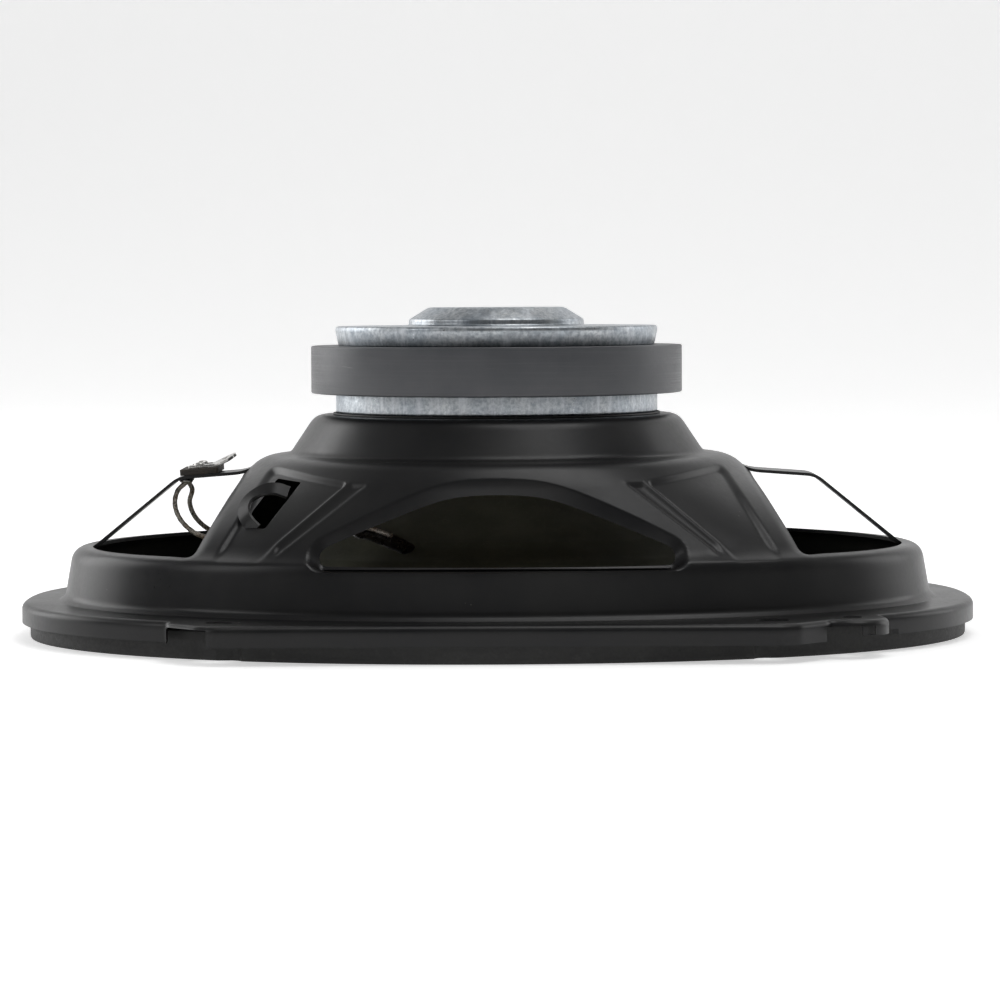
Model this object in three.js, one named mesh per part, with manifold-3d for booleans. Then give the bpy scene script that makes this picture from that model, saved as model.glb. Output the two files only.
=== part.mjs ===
// A 6 x 9 inch coaxial car speaker: a pressed steel basket, an oval paper cone, a ferrite motor
// and a tweeter on a post.
// Millimetres, +Z up. The speaker lies on its front gasket at z = 0, with the magnet on top.
// The origin is the centre of the gasket's front plane, +X runs along the oval and the terminals are at -X.
import * as THREE from "three";
import { mergeVertices } from "three/addons/utils/BufferGeometryUtils.js";
import Module from "manifold-3d";

const wasm = await Module();
wasm.setup();

// Driving dimensions
const FLANGE = { a: 117.5, b: 81.5, power: 2.35, side: 82.5, straight: 66, rear: 9.0, lip: 4.2 };
const SHEET = 0.9; // thickness of the pressed steel
const GAP = 0.3; // clearance between neighbouring pieces
const GASKET = { a: 115.9, b: 80.9, innerA: 104.6, innerB: 70.9, top: 6.8 };
const CORNER_CHAMFER = { x: 76, y: 73 };
const EAR = { x: 81.8, y: 65.0, r: 8.6 };
const SCREW_HOLES = [{ x: 63, y: 71.5, r: 2.6, slot: 2.6 }];
const EAR_HOLE_R = 2.4;
const RING_POWER = 2.12; // plan shape of the oval ring: 2 is an ellipse
const END_STRUT = {
  halfWidth: 7, start: 56, level: 40.4, bend: 78.5, bendLevel: 39.2, foot: 102.2, footLevel: 20.6,
};
const ARCH = { halfWidth: 41.2, bottom: 21.0, shoulder: 26.4, top: 37.4, crownHalf: 15 };
const MAGNET = { outer: 46, inner: 24, bottom: 59.6, top: 71.3 };
const FRONT_PLATE = { outer: 39.9, inner: 14.2, bottom: 54.85, top: 59.55 };
const BACK_PLATE = { outer: 40.0, outerLow: 39.2, bottom: 71.35, top: 76.1 };
const BUMP = { base: 21.7, shoulderTop: 77.6, crown: 16.8, top: 80.7 };
const POLE_R = 12.2;
const POST_BORE_R = 3.1;
const CUP_TOP = 54.3;
const CUP_HOLE_R = 17.5;
const FORMER = { inner: 12.75, outer: 13.05, bottom: 35.4, top: 63.0 };
const WINDING = { outer: 13.7, bottom: 51.4, top: 62.8 };
const CONE = { neckR: 13.4, neckZ: 38.6, edgeA: 93, edgeB: 60.5, edgeZ: 9.1, bow: 0.9, thick: 0.8 };
const SURROUND = {
  lipInner: 5, rollA: 93.4, rollB: 60.6, rollWidth: 9.8, depth: 4.6, level: 7.1, thick: 0.8, flange: 8,
};
const SPIDER = { inner: 13.4, outer: 55, level: 41.4, thick: 0.5, wave: 0.9, waves: 3, flat: 6 };
const PLATE_RIVET = { circle: 27, shank: 2.2, head: 3.2, height: 1.35 };
const BOARD = { near: 0.5, far: 10, halfY: 10, low: 0.35, top: 1.75 }; // from the end strut's bend, along it
const BLADE = { start: 2.5, bend: 8.9, length: 5.2, tilt: 22, thick: 0.6, y: 5, wide: 4.8, narrow: 2.8 };
const BOARD_RIVET = { x: 5.1, r: 1.3, thick: 0.65 };
const LEAD_R = 0.62;
// The strips on the cone's back: low and high are heights above the cone
const PATCH = { start: [-34.6, 19.5], end: [-20.4, 35], half: 2.2, low: 0.48, high: 0.95 };
const TWEETER = { r: 22, front: 1.2, back: 15.6, post: 5, postTop: 67.6, wall: 1.4 };
const TWEETER_MAGNET = { r: 8.2, bottom: 6.6, top: 11.6 };
const TWEETER_YOKE = { outer: 12.2, inner: 10.6, bottom: 5.2, floor: 11.7, top: 13.4 };
const TWEETER_PLATE = { r: 8.6, bottom: 5.0, top: 6.5 };
const TWEETER_DOME = { r: 9.6, rim: 12.4, level: 4.5, rise: 2.4, thick: 0.3 };
const TWEETER_COIL = { inner: 9.0, outer: 9.9, bottom: 4.95, top: 6.6 };
const GUARD = { inner: 13.2, reach: 14, bar: 1.4, hub: 3, depth: 0.6 };

// Colours, roughness and metalness
const finish = (color, roughness, metalness) =>
  new THREE.MeshStandardMaterial({ color, roughness, metalness });
const blackPaint = () => finish(0x1d1d1f, 0.38, 0.2);
const blackPlastic = () => finish(0x17171a, 0.55, 0);
const zinc = () => finish(0xb9c0c6, 0.28, 1);
const ferrite = () => finish(0x4a4b4f, 0.5, 0.15);
const tin = () => finish(0xc9cacb, 0.3, 1);
const copper = () => finish(0xb06a3c, 0.35, 1);
const paper = () => finish(0x34352c, 0.85, 0);
const rubber = () => finish(0x141414, 0.7, 0);
const cloth = () => finish(0x8a6b3c, 0.9, 0);
const fibre = () => finish(0x3a2d25, 0.8, 0);
const braid = () => finish(0xb8ada0, 0.45, 0.7);
const silk = () => finish(0x2a2a2e, 0.6, 0);
const film = () => finish(0xb99a5c, 0.4, 0.1);

const speaker = new THREE.Group();

// Places a named piece in the speaker.
function add(name, shape, material) {
  const mesh = new THREE.Mesh(shape.isBufferGeometry ? shape : geometryOf(shape), material);
  mesh.name = name;
  speaker.add(mesh);
}

// A closed geometry as a manifold solid, turned face out.
function solid(geometry) {
  const g = geometry.clone();
  g.deleteAttribute("normal");
  g.deleteAttribute("uv");
  const merged = mergeVertices(g, 1e-4);
  const index = [];
  const source = merged.index.array;
  for (let i = 0; i < source.length; i += 3) {
    const [a, b, c] = [source[i], source[i + 1], source[i + 2]];
    if (a !== b && b !== c && a !== c) index.push(a, b, c);
  }
  const vertProperties = merged.attributes.position.array;
  const build = (triVerts) => new wasm.Manifold(new wasm.Mesh({ numProp: 3, vertProperties, triVerts }));
  const made = build(new Uint32Array(index));
  if (made.volume() >= 0) return made;
  for (let i = 0; i < index.length; i += 3) {
    [index[i + 1], index[i + 2]] = [index[i + 2], index[i + 1]];
  }
  return build(new Uint32Array(index));
}

// A manifold solid as a geometry.
function geometryOf(manifold) {
  const mesh = manifold.getMesh();
  const positions = new Float32Array(mesh.numVert * 3);
  for (let i = 0; i < mesh.numVert; i++) {
    positions.set(mesh.vertProperties.subarray(i * mesh.numProp, i * mesh.numProp + 3), i * 3);
  }
  const geometry = new THREE.BufferGeometry();
  geometry.setAttribute("position", new THREE.BufferAttribute(positions, 3));
  geometry.setIndex(new THREE.BufferAttribute(mesh.triVerts, 1));
  return geometry;
}

// A solid of revolution about Z from points [radius, height].
function turned(points, segments = 56) {
  const closed = points[0][0] === 0 ? points : [...points, points[0]];
  const profile = closed.map(([r, z]) => new THREE.Vector2(r, z));
  return solid(new THREE.LatheGeometry(profile, segments).rotateX(Math.PI / 2));
}

// A flat ring about Z.
function tubeRing(inner, outer, bottom, top, segments) {
  return turned([[inner, bottom], [outer, bottom], [outer, top], [inner, top]], segments);
}

// A flat disc about Z.
function disc(radius, bottom, top, segments) {
  return turned([[0, bottom], [radius, bottom], [radius, top], [0, top]], segments);
}

// An outline in the XY plane, extruded from z = bottom to z = top.
function upright(points, bottom, top) {
  const shape = new THREE.Shape(points.map(([x, y]) => new THREE.Vector2(x, y)));
  const geometry = new THREE.ExtrudeGeometry(shape, { depth: top - bottom, bevelEnabled: false });
  return solid(geometry.translate(0, 0, bottom));
}

// An outline in the XZ plane, extruded from y = near to y = far.
function across(points, near, far) {
  const shape = new THREE.Shape(points.map(([x, z]) => new THREE.Vector2(x, z)));
  const geometry = new THREE.ExtrudeGeometry(shape, { depth: far - near, bevelEnabled: false });
  return solid(geometry.rotateX(Math.PI / 2).translate(0, far, 0));
}

// A box between two corners.
function box(x0, x1, y0, y1, z0, z1) {
  return upright([[x0, y0], [x1, y0], [x1, y1], [x0, y1]], z0, z1);
}

// A superellipse with half-axes a and b, as points anticlockwise from +X.
function oval(a, b, power, segments) {
  const points = [];
  for (let i = 0; i < segments; i++) {
    const t = (i / segments) * 2 * Math.PI;
    const [c, s] = [Math.cos(t), Math.sin(t)];
    points.push([
      a * Math.sign(c) * Math.abs(c) ** (2 / power),
      b * Math.sign(s) * Math.abs(s) ** (2 / power),
    ]);
  }
  return points;
}

// A closed skin through oval stations {a, b, power, z}: the last station joins the first.
function loft(stations, segments = 56) {
  const positions = [];
  const index = [];
  for (const s of stations) {
    for (const [x, y] of oval(s.a, s.b, s.power ?? 2, segments)) positions.push(x, y, s.z);
  }
  for (let k = 0; k < stations.length; k++) {
    const next = (k + 1) % stations.length;
    for (let i = 0; i < segments; i++) {
      const j = (i + 1) % segments;
      const [p, q] = [k * segments + i, k * segments + j];
      const [r, s] = [next * segments + i, next * segments + j];
      index.push(p, q, s, p, s, r);
    }
  }
  const geometry = new THREE.BufferGeometry();
  geometry.setAttribute("position", new THREE.Float32BufferAttribute(positions, 3));
  geometry.setIndex(index);
  return solid(geometry);
}

// The stations of one skin moved inwards by a thickness, square to the skin.
function inset(stations, thickness) {
  return stations.map((s, i) => {
    const before = stations[Math.max(i - 1, 0)];
    const after = stations[Math.min(i + 1, stations.length - 1)];
    const rise = after.z - before.z;
    const [runA, runB] = [after.a - before.a, after.b - before.b];
    const lengthA = Math.hypot(runA, rise);
    const lengthB = Math.hypot(runB, rise);
    return {
      ...s,
      a: s.a - (thickness * rise) / lengthA,
      b: s.b - (thickness * rise) / lengthB,
      z: s.z + (thickness * (runA / lengthA + runB / lengthB)) / 2,
    };
  });
}

// A round tube along a smooth curve through points.
function cord(points, radius, steps) {
  const curve = new THREE.CatmullRomCurve3(points.map((p) => new THREE.Vector3(...p)));
  const section = new THREE.Shape();
  section.absarc(0, 0, radius, 0, 2 * Math.PI);
  const sweep = { steps, curveSegments: 4, bevelEnabled: false, extrudePath: curve };
  return solid(new THREE.ExtrudeGeometry(section, sweep));
}

// All the solids as one.
const union = (...solids) => solids.reduce((all, next) => all.add(next));

// Height of the cone's back surface at a plan position.
function coneBack(x, y) {
  const r = Math.hypot(x, y);
  const reach = 1 / Math.hypot(x / r / CONE.edgeA, y / r / CONE.edgeB);
  const share = (r - CONE.neckR) / (reach - CONE.neckR);
  return CONE.neckZ - (CONE.neckZ - CONE.edgeZ) * share ** CONE.bow;
}

// The flange outline without its ears, smaller by `margin` all round, extruded between two heights.
function flangeOval(margin, bottom, top) {
  const { a, b, power, side, straight } = FLANGE;
  const bar = [];
  for (const [sx, sy] of [[1, 1], [-1, 1], [-1, -1], [1, -1]]) {
    const corner = [
      [CORNER_CHAMFER.x - margin * 0.8, CORNER_CHAMFER.y - margin * 0.8],
      [straight + 2.6 - margin * 0.6, side - 1.8 - margin],
      [straight - 1.5 - margin * 0.3, side - margin],
    ].map(([x, y]) => [sx * x, sy * y]);
    bar.push(...(sx * sy > 0 ? corner : corner.reverse()));
  }
  const plate = upright(oval(a - margin, b - margin, power, 64), bottom, top);
  return union(plate, upright(bar, bottom, top));
}

// The whole flange outline, with its two ears.
function flangeBody(margin, bottom, top) {
  let body = flangeOval(margin, bottom, top);
  for (const s of [1, -1]) {
    const ear = disc(EAR.r - margin, bottom, top, 20).translate([s * EAR.x, -s * EAR.y, 0]);
    body = body.add(ear);
  }
  return body;
}

// A slotted hole along X.
function slotHole(x, y, r, halfSlot, bottom, top) {
  const hole = disc(r, bottom, top, 12);
  return union(hole.translate([x - halfSlot, y, 0]), hole.translate([x + halfSlot, y, 0]),
    box(x - halfSlot, x + halfSlot, y - r, y + r, bottom, top));
}

// Every screw hole of the flange.
function screwHoles(bottom, top) {
  const holes = [];
  for (const { x, y, r, slot } of SCREW_HOLES) {
    for (const sx of [1, -1]) {
      for (const sy of [1, -1]) holes.push(slotHole(sx * x, sy * y, r, slot / 2, bottom, top));
    }
  }
  for (const s of [1, -1]) {
    holes.push(disc(EAR_HOLE_R, bottom, top, 12).translate([s * EAR.x, -s * EAR.y, 0]));
  }
  return union(...holes);
}

// Outer skin of the basket above its flange, from the foot of the ring to the hole in the cup
const WALL = [
  { z: FLANGE.rear - 0.4, a: 107.8, b: 73.2, power: RING_POWER },
  { z: 10.2, a: 107.0, b: 72.6, power: RING_POWER },
  { z: 18.6, a: 105.8, b: 71.8, power: RING_POWER },
  { z: 21.2, a: 103.9, b: 70.8, power: RING_POWER },
  { z: 23.2, a: 98.2, b: 69.7, power: 2.1 },
  { z: 32, a: 79, b: 65.7, power: 2.06 },
  { z: 40.6, a: 62.9, b: 61, power: 2 },
  { z: 43.0, a: 59.1, b: 59.1, power: 2 },
  { z: 44.1, a: 54.8, b: 54.8, power: 2 },
  { z: 45.2, a: 51.4, b: 51.4, power: 2 },
  { z: 52.6, a: 46.6, b: 46.6, power: 2 },
  { z: CUP_TOP, a: 43.6, b: 43.6, power: 2 },
  { z: CUP_TOP, a: CUP_HOLE_R, b: CUP_HOLE_R, power: 2 },
];

// A point on the basket's outer skin on the -Y side, at a plan x and a height, raised by `out`.
function onWall(x, z, out) {
  const k = WALL.findIndex((s) => s.z > z);
  const [low, high] = [WALL[k - 1], WALL[k]];
  const share = (z - low.z) / (high.z - low.z);
  const a = low.a + (high.a - low.a) * share;
  const b = low.b + (high.b - low.b) * share;
  const y = -b * Math.sqrt(1 - (x / a) ** 2);
  const normal = new THREE.Vector2(x / a ** 2, y / b ** 2).normalize();
  return new THREE.Vector3(x + normal.x * out, y + normal.y * out, z);
}

// A flat strap of constant width and thickness through points.
function strap(points, across, thickness) {
  const sections = points.map((p, i) => {
    const before = points[Math.max(i - 1, 0)];
    const after = points[Math.min(i + 1, points.length - 1)];
    const along = after.clone().sub(before).normalize();
    const normal = along.clone().cross(across).normalize().multiplyScalar(thickness / 2);
    return [[-1, -1], [1, -1], [1, 1], [-1, 1]].map(([s, t]) =>
      p.clone().addScaledVector(across, s / 2).addScaledVector(normal, t).toArray());
  });
  return bar(sections);
}

// A bar through sections of four corners each.
function bar(sections) {
  const positions = sections.flat(2);
  const index = [0, 2, 1, 0, 3, 2];
  const last = (sections.length - 1) * 4;
  index.push(last, last + 1, last + 2, last, last + 2, last + 3);
  for (let k = 0; k < last; k += 4) {
    for (let i = 0; i < 4; i++) {
      const j = (i + 1) % 4;
      index.push(k + i, k + j, k + 4 + j, k + i, k + 4 + j, k + 4 + i);
    }
  }
  const geometry = new THREE.BufferGeometry();
  geometry.setAttribute("position", new THREE.Float32BufferAttribute(positions, 3));
  geometry.setIndex(index);
  return solid(geometry);
}

// Basket: flange with a turned-down lip, oval ring, four wide struts, two narrow end struts and the cup.
function basket() {
  const inner = inset(WALL, SHEET);
  inner[0].z = WALL[0].z;
  inner[inner.length - 1].a = CUP_HOLE_R;
  inner[inner.length - 1].b = CUP_HOLE_R;
  let body = loft([...WALL, ...inner.reverse()]);

  // Arch windows through both long sides
  const { halfWidth, bottom, shoulder, top, crownHalf } = ARCH;
  const arch = [
    [-halfWidth + 2, bottom], [halfWidth - 2, bottom], [halfWidth, bottom + 2],
    [halfWidth, shoulder - 1.5], [halfWidth - 2, shoulder],
  ];
  const crown = 8;
  for (let i = 0; i <= crown; i++) {
    const x = crownHalf * (1 - (2 * i) / crown);
    arch.push([x, top - 1.9 * (x / crownHalf) ** 2]);
  }
  arch.push([-halfWidth + 2, shoulder], [-halfWidth, shoulder - 1.5], [-halfWidth, bottom + 2]);
  body = body.subtract(across(arch, -90, -40)).subtract(across(arch, 40, 90));

  // End windows, punched from above, then the narrow end strut laid across each
  for (const s of [1, -1]) {
    const rim = oval(100.2, 69.2, 2.1, 64)
      .filter(([x, y]) => x > 72.5 && Math.abs(y) < 49.5)
      .sort((p, q) => p[1] - q[1]);
    const window = [
      [62.4, 18], [62.4, -18], [66.2, -34], [69.6, -45], ...rim, [69.6, 45], [66.2, 34],
    ];
    body = body.subtract(upright(window.map(([x, y]) => [s * x, y]), 15, 43.2));
    const e = END_STRUT;
    const line = [
      [e.start, 42.2], [61, e.level + 0.5], [63, e.level], [e.bend, e.bendLevel], [e.foot, e.footLevel],
    ];
    const under = line.map(([x, z], i) => {
      const last = i === line.length - 1;
      return [x - (i > 2 ? 0.55 : 0), z - (last ? 0.72 : SHEET)];
    });
    const section = [...line, ...under.reverse()].map(([x, z]) => [s * x, z]);
    body = body.add(across(section, -e.halfWidth, e.halfWidth));
  }

  // Lanced guide strap on the left front strut, with the hole it was pressed out of
  const lance = across([[-53.6, 39], [-46.8, 39.6], [-54, 29.4], [-58.2, 29.4]], -70, -20);
  body = body.subtract(lance);
  const guide = [
    [-50.8, 37.6, -1.2], [-53.4, 37, 1.8], [-56.2, 35.2, 2.8],
    [-58.5, 33.4, 2.8], [-59.2, 31.2, 1.8], [-58.8, 28.2, -0.5],
  ];
  body = body.add(strap(guide.map((p) => onWall(...p)), new THREE.Vector3(2.5, -1.9, 0), SHEET));

  // Flange with its lip, notched at the corners
  const front = upright(oval(107, 72.4, RING_POWER, 56), 0, 20);
  let flange = flangeBody(0, FLANGE.lip, FLANGE.rear)
    .subtract(flangeBody(SHEET, 0, FLANGE.rear - SHEET))
    .subtract(front)
    .subtract(screwHoles(0, 20));
  const cuts = [
    box(75.2, 83.4, -90, -60, 0, 8),
    box(84.9, 86.5, -90, -60, 5.6, 7.8),
    box(-76, -66, -90, -60, 0, 8),
    box(76, 92, -90, -63.5, 0, 5.4),
  ];
  for (const cut of cuts) flange = flange.subtract(cut).subtract(cut.rotate([0, 0, 180]));
  return body.add(flange);
}
add("basket", basket(), blackPaint());

// Front gasket, which also clamps the surround's edge
function frontGasket() {
  const ring = upright(oval(GASKET.a, GASKET.b, RING_POWER, 64), 0, GASKET.top);
  const opening = upright(oval(GASKET.innerA, GASKET.innerB, RING_POWER, 56), -1, 20);
  return ring.subtract(opening).subtract(screwHoles(-1, 20));
}
add("front_gasket", frontGasket(), blackPlastic());

// Cone: an oval paper cone with its neck on the voice coil former
function cone() {
  const steps = 4;
  const back = [];
  for (let i = 0; i <= steps; i++) {
    const share = i / steps;
    back.push({
      z: CONE.neckZ - (CONE.neckZ - CONE.edgeZ) * share ** CONE.bow,
      a: CONE.neckR + (CONE.edgeA - CONE.neckR) * share,
      b: CONE.neckR + (CONE.edgeB - CONE.neckR) * share,
    });
  }
  const front = back.map((s) => ({ ...s, z: s.z - CONE.thick }));
  return loft([...back, ...front.reverse()], 44);
}
add("cone", cone(), paper());

// Surround: a half roll of rubber that lets the cone travel
function surround() {
  const { rollA, rollB, rollWidth, depth, level, thick } = SURROUND;
  const skin = [{ z: level, a: rollA - SURROUND.lipInner, b: rollB - SURROUND.lipInner }];
  const steps = 4;
  for (let i = 0; i <= steps; i++) {
    const turn = (Math.PI * i) / steps;
    const reach = (rollWidth * (1 - Math.cos(turn))) / 2;
    skin.push({ z: level - depth * Math.sin(turn), a: rollA + reach, b: rollB + reach });
  }
  skin.push({ z: level, a: rollA + rollWidth + SURROUND.flange, b: rollB + rollWidth + SURROUND.flange });
  const back = skin.map((s) => ({ ...s, z: s.z + thick }));
  return loft([...back, ...skin.reverse()].map((s) => ({ ...s, power: 2.05 })), 44);
}
add("surround", surround(), rubber());

// Spider: a corrugated cloth disc that centres the voice coil
function spider() {
  const { inner, outer, level, thick, wave, waves, flat } = SPIDER;
  const steps = waves * 2;
  const top = [];
  for (let i = 0; i <= steps; i++) {
    const r = inner + ((outer - flat - inner) * i) / steps;
    top.push([r, level + thick + (i === 0 || i === steps ? 0 : wave * (i % 2 ? 1 : -1)) / 2]);
  }
  top.push([outer, level + thick]);
  const under = top.map(([r, z]) => [r, z - thick]).reverse();
  return turned([...top, ...under], 28);
}
add("spider", spider(), cloth());

// Voice coil
add("voice_coil_former", tubeRing(FORMER.inner, FORMER.outer, FORMER.bottom, FORMER.top, 28), film());
const winding = tubeRing(FORMER.outer + 0.02, WINDING.outer, WINDING.bottom, WINDING.top, 28);
add("voice_coil_winding", winding, copper());
add("dust_ring", tubeRing(TWEETER.post + 0.7, FORMER.inner - GAP, 36, 37.4, 24), silk());

// Motor: front plate, ferrite ring and back plate with its pole
add("seat_ring", tubeRing(30, 40.6, CUP_TOP + 0.05, FRONT_PLATE.bottom - 0.05, 44), blackPlastic());
const frontPlate = tubeRing(FRONT_PLATE.inner, FRONT_PLATE.outer, FRONT_PLATE.bottom, FRONT_PLATE.top, 44);
add("front_plate", frontPlate, zinc());
add("magnet", tubeRing(MAGNET.inner, MAGNET.outer, MAGNET.bottom, MAGNET.top, 44), ferrite());
add("t_yoke", turned([
  [POST_BORE_R, TWEETER.postTop + 0.4], [0, TWEETER.postTop + 0.4],
  [0, BUMP.top], [BUMP.crown, BUMP.top], [BUMP.base, BUMP.shoulderTop], [BUMP.base, BACK_PLATE.top],
  [BACK_PLATE.outer - 0.8, BACK_PLATE.top], [BACK_PLATE.outer, BACK_PLATE.top - 1],
  [BACK_PLATE.outerLow, BACK_PLATE.bottom], [POLE_R + 0.4, BACK_PLATE.bottom],
  [POLE_R, BACK_PLATE.bottom - 0.4], [POLE_R, CUP_TOP], [POST_BORE_R, CUP_TOP],
], 40), zinc());

// Four rivets hold the basket's cup to the front plate.
for (let i = 0; i < 4; i++) {
  const angle = ((i + 0.5) * Math.PI) / 2;
  const place = [PLATE_RIVET.circle * Math.cos(angle), PLATE_RIVET.circle * Math.sin(angle), 0];
  const top = CUP_TOP - SHEET - 0.05;
  const low = top - PLATE_RIVET.height;
  const rivet = turned([
    [0, low], [PLATE_RIVET.shank, low], [PLATE_RIVET.head, top - 0.25], [PLATE_RIVET.head, top], [0, top],
  ], 14);
  add("plate_rivet_" + (i + 1), rivet.translate(place), tin());
}

// Terminal board with its blades and rivets: laid on the left end strut, from its bend inwards
const strutSlope = Math.atan2(END_STRUT.level - END_STRUT.bendLevel, END_STRUT.bend - 63);
const onStrut = (shape) =>
  shape.rotate([0, (-strutSlope * 180) / Math.PI, 0]).translate([-END_STRUT.bend, 0, END_STRUT.bendLevel]);
const board = box(BOARD.near, BOARD.far, -BOARD.halfY, BOARD.halfY, BOARD.low, BOARD.top);
add("terminal_board", onStrut(board), fibre());
const tilt = (BLADE.tilt * Math.PI) / 180;
const blades = [["terminal_positive", -1, BLADE.wide], ["terminal_negative", 1, BLADE.narrow]];
for (const [name, side, width] of blades) {
  const base = BOARD.top + 0.05;
  const tip = [BLADE.bend + BLADE.length * Math.cos(tilt), base + BLADE.length * Math.sin(tilt)];
  const profile = [
    [BLADE.start, base], [BLADE.bend, base], tip, [tip[0] - 0.25, tip[1] + BLADE.thick],
    [BLADE.bend - 0.2, base + BLADE.thick], [BLADE.start, base + BLADE.thick],
  ];
  const y = side * BLADE.y;
  add(name, onStrut(across(profile, y - width / 2, y + width / 2)), tin());
  const low = base + BLADE.thick + 0.05;
  const rivet = disc(BOARD_RIVET.r, low, low + BOARD_RIVET.thick, 20).translate([BOARD_RIVET.x, y, 0]);
  add(name + "_rivet", onStrut(rivet), tin());
}

// Tinsel leads: down from the board in an open loop, then along the back of the cone and onto the strips
for (const [name, side, bulge] of [["tinsel_lead_positive", -1, 79.9], ["tinsel_lead_negative", 1, 76.9]]) {
  const over = (x, y, lift = 0.35) => [x, side * y, coneBack(x, y) + LEAD_R + lift];
  const route = [
    [-77.2, side * 3.2, 37.6], [-bulge + 0.7, side * 3.4, 35.6], [-bulge, side * 3.7, 32.4],
    [-bulge + 1.2, side * 4.2, 28.8], [-bulge + 4.4, side * 5, 25.6], [-bulge + 9.6, side * 6.4, 23.6],
    [-60, side * 9, 21.8], over(-50, 12.4, 0.5), over(-42, 15.2, 0.9), over(-36, 18.8, 1.3),
    over(-31, 23.4, 1.2), over(-25.5, 29.4, 1.2),
  ];
  add(name, cord(route, LEAD_R, 32), braid());
}

// Adhesive strips that hold the leads' ends to the cone's back
for (const [name, side] of [["lead_patch_positive", -1], ["lead_patch_negative", 1]]) {
  const { start, end, half, low, high } = PATCH;
  const run = new THREE.Vector2(end[0] - start[0], end[1] - start[1]);
  const off = new THREE.Vector2(-run.y, run.x).normalize();
  const sections = [0, 0.06, 0.25, 0.5, 0.75, 0.94, 1].map((t) => {
    const width = half * (t === 0 || t === 1 ? 0.6 : 1);
    const corner = (w, lift) => {
      const [x, y] = [start[0] + run.x * t + off.x * w, start[1] + run.y * t + off.y * w];
      return [x, side * y, coneBack(x, y) + lift];
    };
    return [corner(-width, low), corner(width, low), corner(width, high), corner(-width, high)];
  });
  add(name, bar(sections), rubber());
}

// Tweeter: post through the pole, housing, motor, dome and front guard
const T = TWEETER;
const stub = POST_BORE_R - 0.1;
add("tweeter_post", turned([
  [0, T.back + GAP], [T.post, T.back + GAP], [T.post, CUP_TOP - GAP], [stub, CUP_TOP - GAP],
  [stub, T.postTop], [0, T.postTop],
], 32), blackPlastic());
const well = T.r - T.wall;
add("tweeter_housing", turned([
  [0, T.back - 1.6], [well - 1.8, T.back - 1.6], [well, T.back - 4], [well, T.front + 2.6],
  [T.r, T.front + 2.6], [T.r, T.back - 5], [T.r - 3, T.back], [0, T.back],
], 32), blackPlastic());
add("tweeter_magnet", disc(TWEETER_MAGNET.r, TWEETER_MAGNET.bottom, TWEETER_MAGNET.top, 32), ferrite());
const yoke = TWEETER_YOKE;
add("tweeter_yoke", turned([
  [0, yoke.floor], [yoke.inner, yoke.floor], [yoke.inner, yoke.bottom],
  [yoke.outer, yoke.bottom], [yoke.outer, yoke.top], [0, yoke.top],
], 24), zinc());
add("tweeter_pole_plate", disc(TWEETER_PLATE.r, TWEETER_PLATE.bottom, TWEETER_PLATE.top, 32), zinc());

// The tweeter's dome bulges forwards, inside a flat rim.
function tweeterDome() {
  const { r, rim, level, rise, thick } = TWEETER_DOME;
  const steps = 3;
  const front = [];
  for (let i = 0; i <= steps; i++) {
    const turn = ((Math.PI / 2) * 0.96 * i) / steps;
    front.push([r * Math.sin(turn), level - rise * Math.cos(turn)]);
  }
  const back = front.map(([x, z]) => [x, z + thick]).reverse();
  return turned([...front, [rim, level - 0.1], [rim, level + 0.15], ...back], 24);
}
add("tweeter_dome", tweeterDome(), silk());
const coil = TWEETER_COIL;
add("tweeter_coil", tubeRing(coil.inner, coil.outer, coil.bottom, coil.top, 24), copper());

// The guard's rim, with three crossing bars over the dome
function tweeterGuard() {
  const { inner, reach, bar, hub, depth } = GUARD;
  const front = T.front;
  const rim = turned([
    [inner, front + 0.3], [16, front], [T.r, front], [T.r, front + 2.3], [inner, front + 2.3],
  ], 28);
  const bars = [];
  for (let i = 0; i < 3; i++) {
    const across = box(-reach, reach, -bar / 2, bar / 2, front - depth, front + 0.2);
    bars.push(across.rotate([0, 0, i * 60]));
  }
  const centre = disc(hub, front - depth, front + 0.2, 24);
  const halo = tubeRing(reach - 1, reach + 1, front - depth, front + 0.4, 28);
  return union(rim, centre, halo, ...bars);
}
add("tweeter_guard", tweeterGuard(), blackPlastic());

export default speaker;
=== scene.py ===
"""Coaxial car speaker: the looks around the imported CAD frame.

Lengths are millimetres until a mesh is made, then metres.

The speaker lies on its front gasket at z = 0 with the magnet on top, and the terminals are at -X.
"""

import math

import bmesh
import bpy
import numpy as np
from mathutils import Matrix, Vector


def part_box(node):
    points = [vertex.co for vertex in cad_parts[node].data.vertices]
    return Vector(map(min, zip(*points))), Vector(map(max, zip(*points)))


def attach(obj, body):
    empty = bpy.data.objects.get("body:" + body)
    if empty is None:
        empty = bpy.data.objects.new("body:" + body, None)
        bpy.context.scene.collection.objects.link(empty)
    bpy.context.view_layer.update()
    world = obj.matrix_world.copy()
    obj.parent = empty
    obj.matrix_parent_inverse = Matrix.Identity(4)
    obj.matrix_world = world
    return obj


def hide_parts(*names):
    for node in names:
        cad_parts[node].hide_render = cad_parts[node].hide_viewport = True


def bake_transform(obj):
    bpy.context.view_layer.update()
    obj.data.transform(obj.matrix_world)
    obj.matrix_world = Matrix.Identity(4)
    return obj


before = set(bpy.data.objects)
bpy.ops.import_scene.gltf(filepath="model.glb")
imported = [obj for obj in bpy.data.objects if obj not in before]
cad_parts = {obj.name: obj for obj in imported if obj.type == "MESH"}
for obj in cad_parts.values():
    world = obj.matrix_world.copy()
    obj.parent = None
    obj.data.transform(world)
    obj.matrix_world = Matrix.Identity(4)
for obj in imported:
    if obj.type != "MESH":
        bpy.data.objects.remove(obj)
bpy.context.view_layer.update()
MM = 0.001
TURN = 2 * math.pi

# ---------------------------------------------------------------- driving sizes, taken from the CAD nodes


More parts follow.
